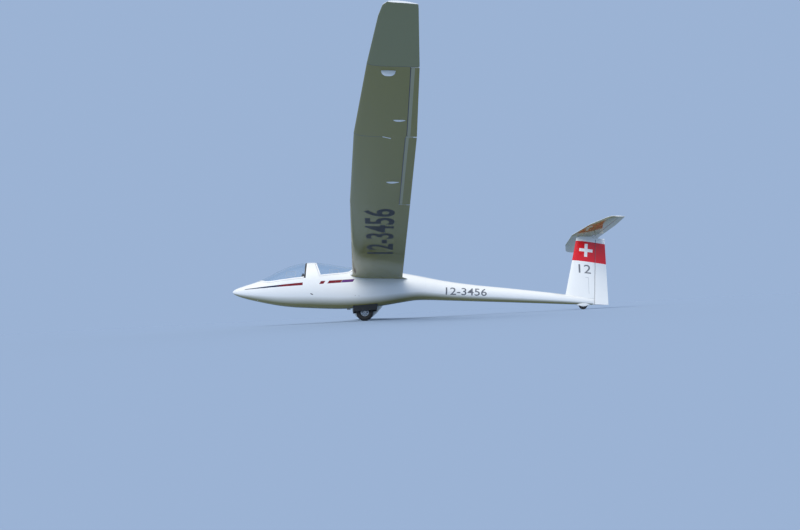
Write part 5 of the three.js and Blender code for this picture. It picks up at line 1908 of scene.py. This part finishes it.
def dial_marks(at, radius, pointer, most, ticks):
    """Ticks round three quarters of a dial, figures inside them, and a pointer."""
    marks = []
    out = np.array([0, 0, 1.0])
    turns = np.radians(225 - np.linspace(0, 270, ticks + 1))
    every = max(ticks // most, 1)
    for k, turn in enumerate(turns):
        long, half = (0.16, 0.020 * radius) if k % every == 0 else (0.09, 0.011 * radius)
        middle = at + spoke(turn) * radius * (0.96 - long / 2) + out * 0.0024
        section = [(-half, -0.0002), (half, -0.0002), (half, 0.0002), (-half, 0.0002)]
        axes = (spoke(turn + pi / 2), out, spoke(turn))
        marks.append(carried(section, middle, axes, radius * long))
    for figure in range(0, most + 1, 1 if most < 8 else 2):
        turn = turns[min(figure * every, ticks)]
        tall = radius * 0.19
        wide = tall * (0.30 if figure == 1 else 0.62 * len(str(figure)))
        piece = lettering(str(figure), tall, wide)
        middle = at + spoke(turn) * radius * 0.62 + out * 0.0024
        set_vertices(piece, vertices_of(piece) - (wide / 2, tall / 2, 0) + middle)
        modify(piece, "SOLIDIFY", thickness=0.0003)
        marks.append(piece)
    turn = radians(pointer)
    half = np.array([(-0.20, 0.030), (-0.20, -0.030), (0.0, -0.045), (0.80, -0.006)])
    outline = np.vstack([half, (0.80, 0.006), (0.0, 0.045)]) * radius
    axes = (spoke(turn), spoke(turn + pi / 2), out)
    marks.append(carried(outline, at + out * 0.0034, axes, 0.0006))
    marks.append(drum(radius * 0.11, 0.0024, 0.0042, at, ABOUT_Z, 20))
    return marks


class SAILPLANE_OT_controls(PieceOperator, bpy.types.Operator):
    """Makes sticks with boots and grips, pedals, and the coloured levers on the side walls"""

    bl_idname = "sailplane.controls"
    bl_label = "Controls"

    def make(self):
        for label, (x, foot_z, rise) in STICKS.items():
            stick(label, np.array([x, 0, foot_z]), rise)
        pedals()
        for label, start in LEVER_STARTS.items():
            side_levers(label, start)


def stick(label, foot, rise):
    """A tube, a boot that narrows in sine folds round its foot, and a grip that swells for four
    fingers, with a button on top."""
    top = foot + (STICK_LEAN, 0, rise)
    way = unit(top - foot)
    axes = (np.cross(way, (0, 1.0, 0)), (0, 1.0, 0), way)
    path = [foot + way * s for s in np.linspace(-0.02, rise - 0.06, 8)]
    tube = swept(path, circle(0.0095, 20), (0, 1, 0))
    dress("stick_tube_" + label, tube, "aluminium")
    folds = np.linspace(0, 1, 49)
    radius = 0.047 * (1 - folds) ** 0.8 + 0.012 + 0.0035 * np.sin(folds * 5 * 2 * pi) * (1 - folds)
    boot = turned(np.stack([radius, folds * 0.09], 1), foot + way * 0.008, axes, 36)
    dress("stick_boot_" + label, boot, "leather", crease=60)
    share = np.linspace(0, 1, 41)
    bulge = 0.0158 + 0.0018 * np.sin(share * 2 * pi * 3.5) * (share < 0.8)
    bulge = bulge * np.sqrt(np.clip(1 - ((share - 0.5) / 0.515) ** 14, 0.02, 1))
    path = top + way * (share[:, None] * 0.12 - 0.072)
    grip = swept(path, circle(1.0, 24) * (0.85, 1.05), (0, 1, 0), bulge)
    button = turned([(0.006, 0), (0.006, 0.006), (0.004, 0.008)], top + way * 0.045, axes, 20)
    dress("stick_grip_" + label, grip, "leather", "control_stick_" + label, crease=60)
    dress("stick_button_" + label, button, "knob_red")


def pedals():
    """Two foot plates with heel rests on tubes from the floor, and the cross tube between."""
    axes = ((0, 1, 0), (0.22, 0, 0.975), (0.975, 0, -0.22))
    parts = []
    for y in (-0.085, 0.085):
        parts.append(carried(rounded(0.082, 0.118, 0.02, 6), (0.575, y, -0.035), axes, 0.006))
        for k in range(-3, 4):
            at = (0.579 + 0.22 * k * 0.014, y, -0.035 + k * 0.014)
            parts.append(carried(rounded(0.068, 0.004, 0.0015, 3), at, axes, 0.009))
        leg = [(0.575, y, -0.185), (0.568, y, -0.135), (0.564, y, -0.085)]
        parts.append(swept(leg, circle(0.009), (0, 1, 0)))
    tube = [(0.574, -0.10, -0.118), (0.574, 0.0, -0.118), (0.574, 0.10, -0.118)]
    parts.append(swept(tube, circle(0.008)))
    dress("pedal_plates", parts, "aluminium", "rudder_pedals_front", crease=40)


def side_levers(label, start):
    """On the port wall a blue airbrake lever and a green trim knob, each on a rod along the wall;
    on the starboard wall a black gear handle."""
    for name, side, aft, length, z, finish in LEVERS:
        x = start + aft
        y, far = (hull_y(side, at, z, COCKPIT_WALL + 0.022) for at in (x, x + length))
        rod = [(x, y, z), (x + length / 2, (y + far) / 2, z), (x + length, far, z)]
        parts = [swept(rod, circle(0.006, 14))]
        for at in (x + 0.02, x + length - 0.02):
            wall = hull_y(side, at, z, COCKPIT_WALL - 0.002)
            inner = side * (abs(wall) - 0.032)
            axes = ((1, 0, 0), (0, 0, 1), (0, 1, 0))
            bracket, middle = rounded(0.016, 0.020, 0.003, 3), (at, (wall + inner) / 2, z)
            parts.append(carried(bracket, middle, axes, abs(wall - inner)))
        dress(f"{name}_rail_{label}", parts, "aluminium", crease=40)
        x = x + 0.05
        post = [(x, y, z), (x, y - side * 0.024, z + 0.012), (x, y - side * 0.034, z + 0.040)]
        stem = swept(smoothed(post, 12), circle(0.005, 14), (1, 0, 0))
        ball = [(0.0005, -0.020), (0.010, -0.017), (0.0135, 0.0), (0.010, 0.017), (0.0005, 0.020)]
        grip = turned(smoothed(ball, 21), (x, y - side * 0.034, z + 0.050), ABOUT_X, 24)
        dress(f"{name}_{label}", [stem, grip], finish, crease=60)


class SAILPLANE_OT_fittings(PieceOperator, bpy.types.Operator):
    """Gives the frame's own nodes their finishes, and makes the tow release"""

    bl_idname = "sailplane.fittings"
    bl_label = "Fittings"

    def make(self):
        finishes = {
            "seat_": "seat_shell",
            "instrument_console": "panel",
            "main_gear_door": "door",
        }
        for name, node in frame["nodes"].items():
            key = next((k for k in finishes if name.startswith(k)), None)
            node.data.materials.clear()
            node.data.materials.append(MATERIALS[finishes.get(key, "steel")])
        tow_release()


def tow_release():
    """A housing under the belly, slotted from the front and below, the hook that hangs in the
    slot, and the bolt on which it turns."""
    front, rear, half = (TOW_RELEASE[key] for key in ("front", "rear", "half"))
    low = smooth_columns(HULL, (front + rear) / 2)[0, 3] - TOW_RELEASE["drop"]
    side = half - 0.003
    housing = box_solid((front, -side, low), (rear, side, low + 0.1))
    slot = box_solid((front - 0.01, -0.009, low - 0.01), (rear - 0.014, 0.009, low + 0.020))
    cut(housing, hull_solid(2.4, 2.8, -SEAT_GAP), slot)
    modify(housing, "BEVEL", width=0.002, segments=2)
    dress("tow_housing", housing, "steel", "tow_release")
    turn = np.array([front + 0.048, 0, low + 0.012])
    beak = [
        (0.010, 0.008), (-0.014, 0.008), (-0.030, 0.004), (-0.038, -0.003), (-0.038, -0.010),
        (-0.031, -0.010), (-0.028, -0.004), (-0.016, -0.003), (-0.004, -0.009), (0.010, -0.009),
    ]
    parts = [prism(turn[[0, 2]] + beak, -0.006, 0.006), drum(0.005, -half, half, turn, segments=6)]
    for way in (-1, 1):
        parts.append(drum(0.008, way * (side - 0.001), way * (side + 0.001), turn))
    dress("tow_hook", parts, "chrome")


OPERATORS = (
    SAILPLANE_OT_materials,
    SAILPLANE_OT_stage,
    SAILPLANE_OT_fuselage,
    SAILPLANE_OT_canopies,
    SAILPLANE_OT_wings,
    SAILPLANE_OT_tail,
    SAILPLANE_OT_markings,
    SAILPLANE_OT_wheels,
    SAILPLANE_OT_seats,
    SAILPLANE_OT_instruments,
    SAILPLANE_OT_controls,
    SAILPLANE_OT_fittings,
)


class SAILPLANE_PT_panel(bpy.types.Panel):
    """Lists the sailplane's pieces and looks"""

    bl_label = "Sailplane"
    bl_idname = "SAILPLANE_PT_panel"
    bl_space_type = "VIEW_3D"
    bl_region_type = "UI"
    bl_category = "Sailplane"

    def draw(self, context):
        for name in SailplaneLooks.__annotations__:
            self.layout.prop(context.scene.sailplane_looks, name)
        for operator in OPERATORS:
            self.layout.operator(operator.bl_idname)


CLASSES = (SailplaneLooks, *OPERATORS, SAILPLANE_PT_panel)


def register():
    for cls in CLASSES:
        bpy.utils.register_class(cls)
    bpy.types.Scene.sailplane_looks = PointerProperty(type=SailplaneLooks)


def unregister():
    del bpy.types.Scene.sailplane_looks
    for cls in reversed(CLASSES):
        bpy.utils.unregister_class(cls)


def main():
    register()
    for operator in OPERATORS:
        getattr(bpy.ops.sailplane, operator.bl_idname.split(".")[1])()


if __name__ == "__main__":
    main()
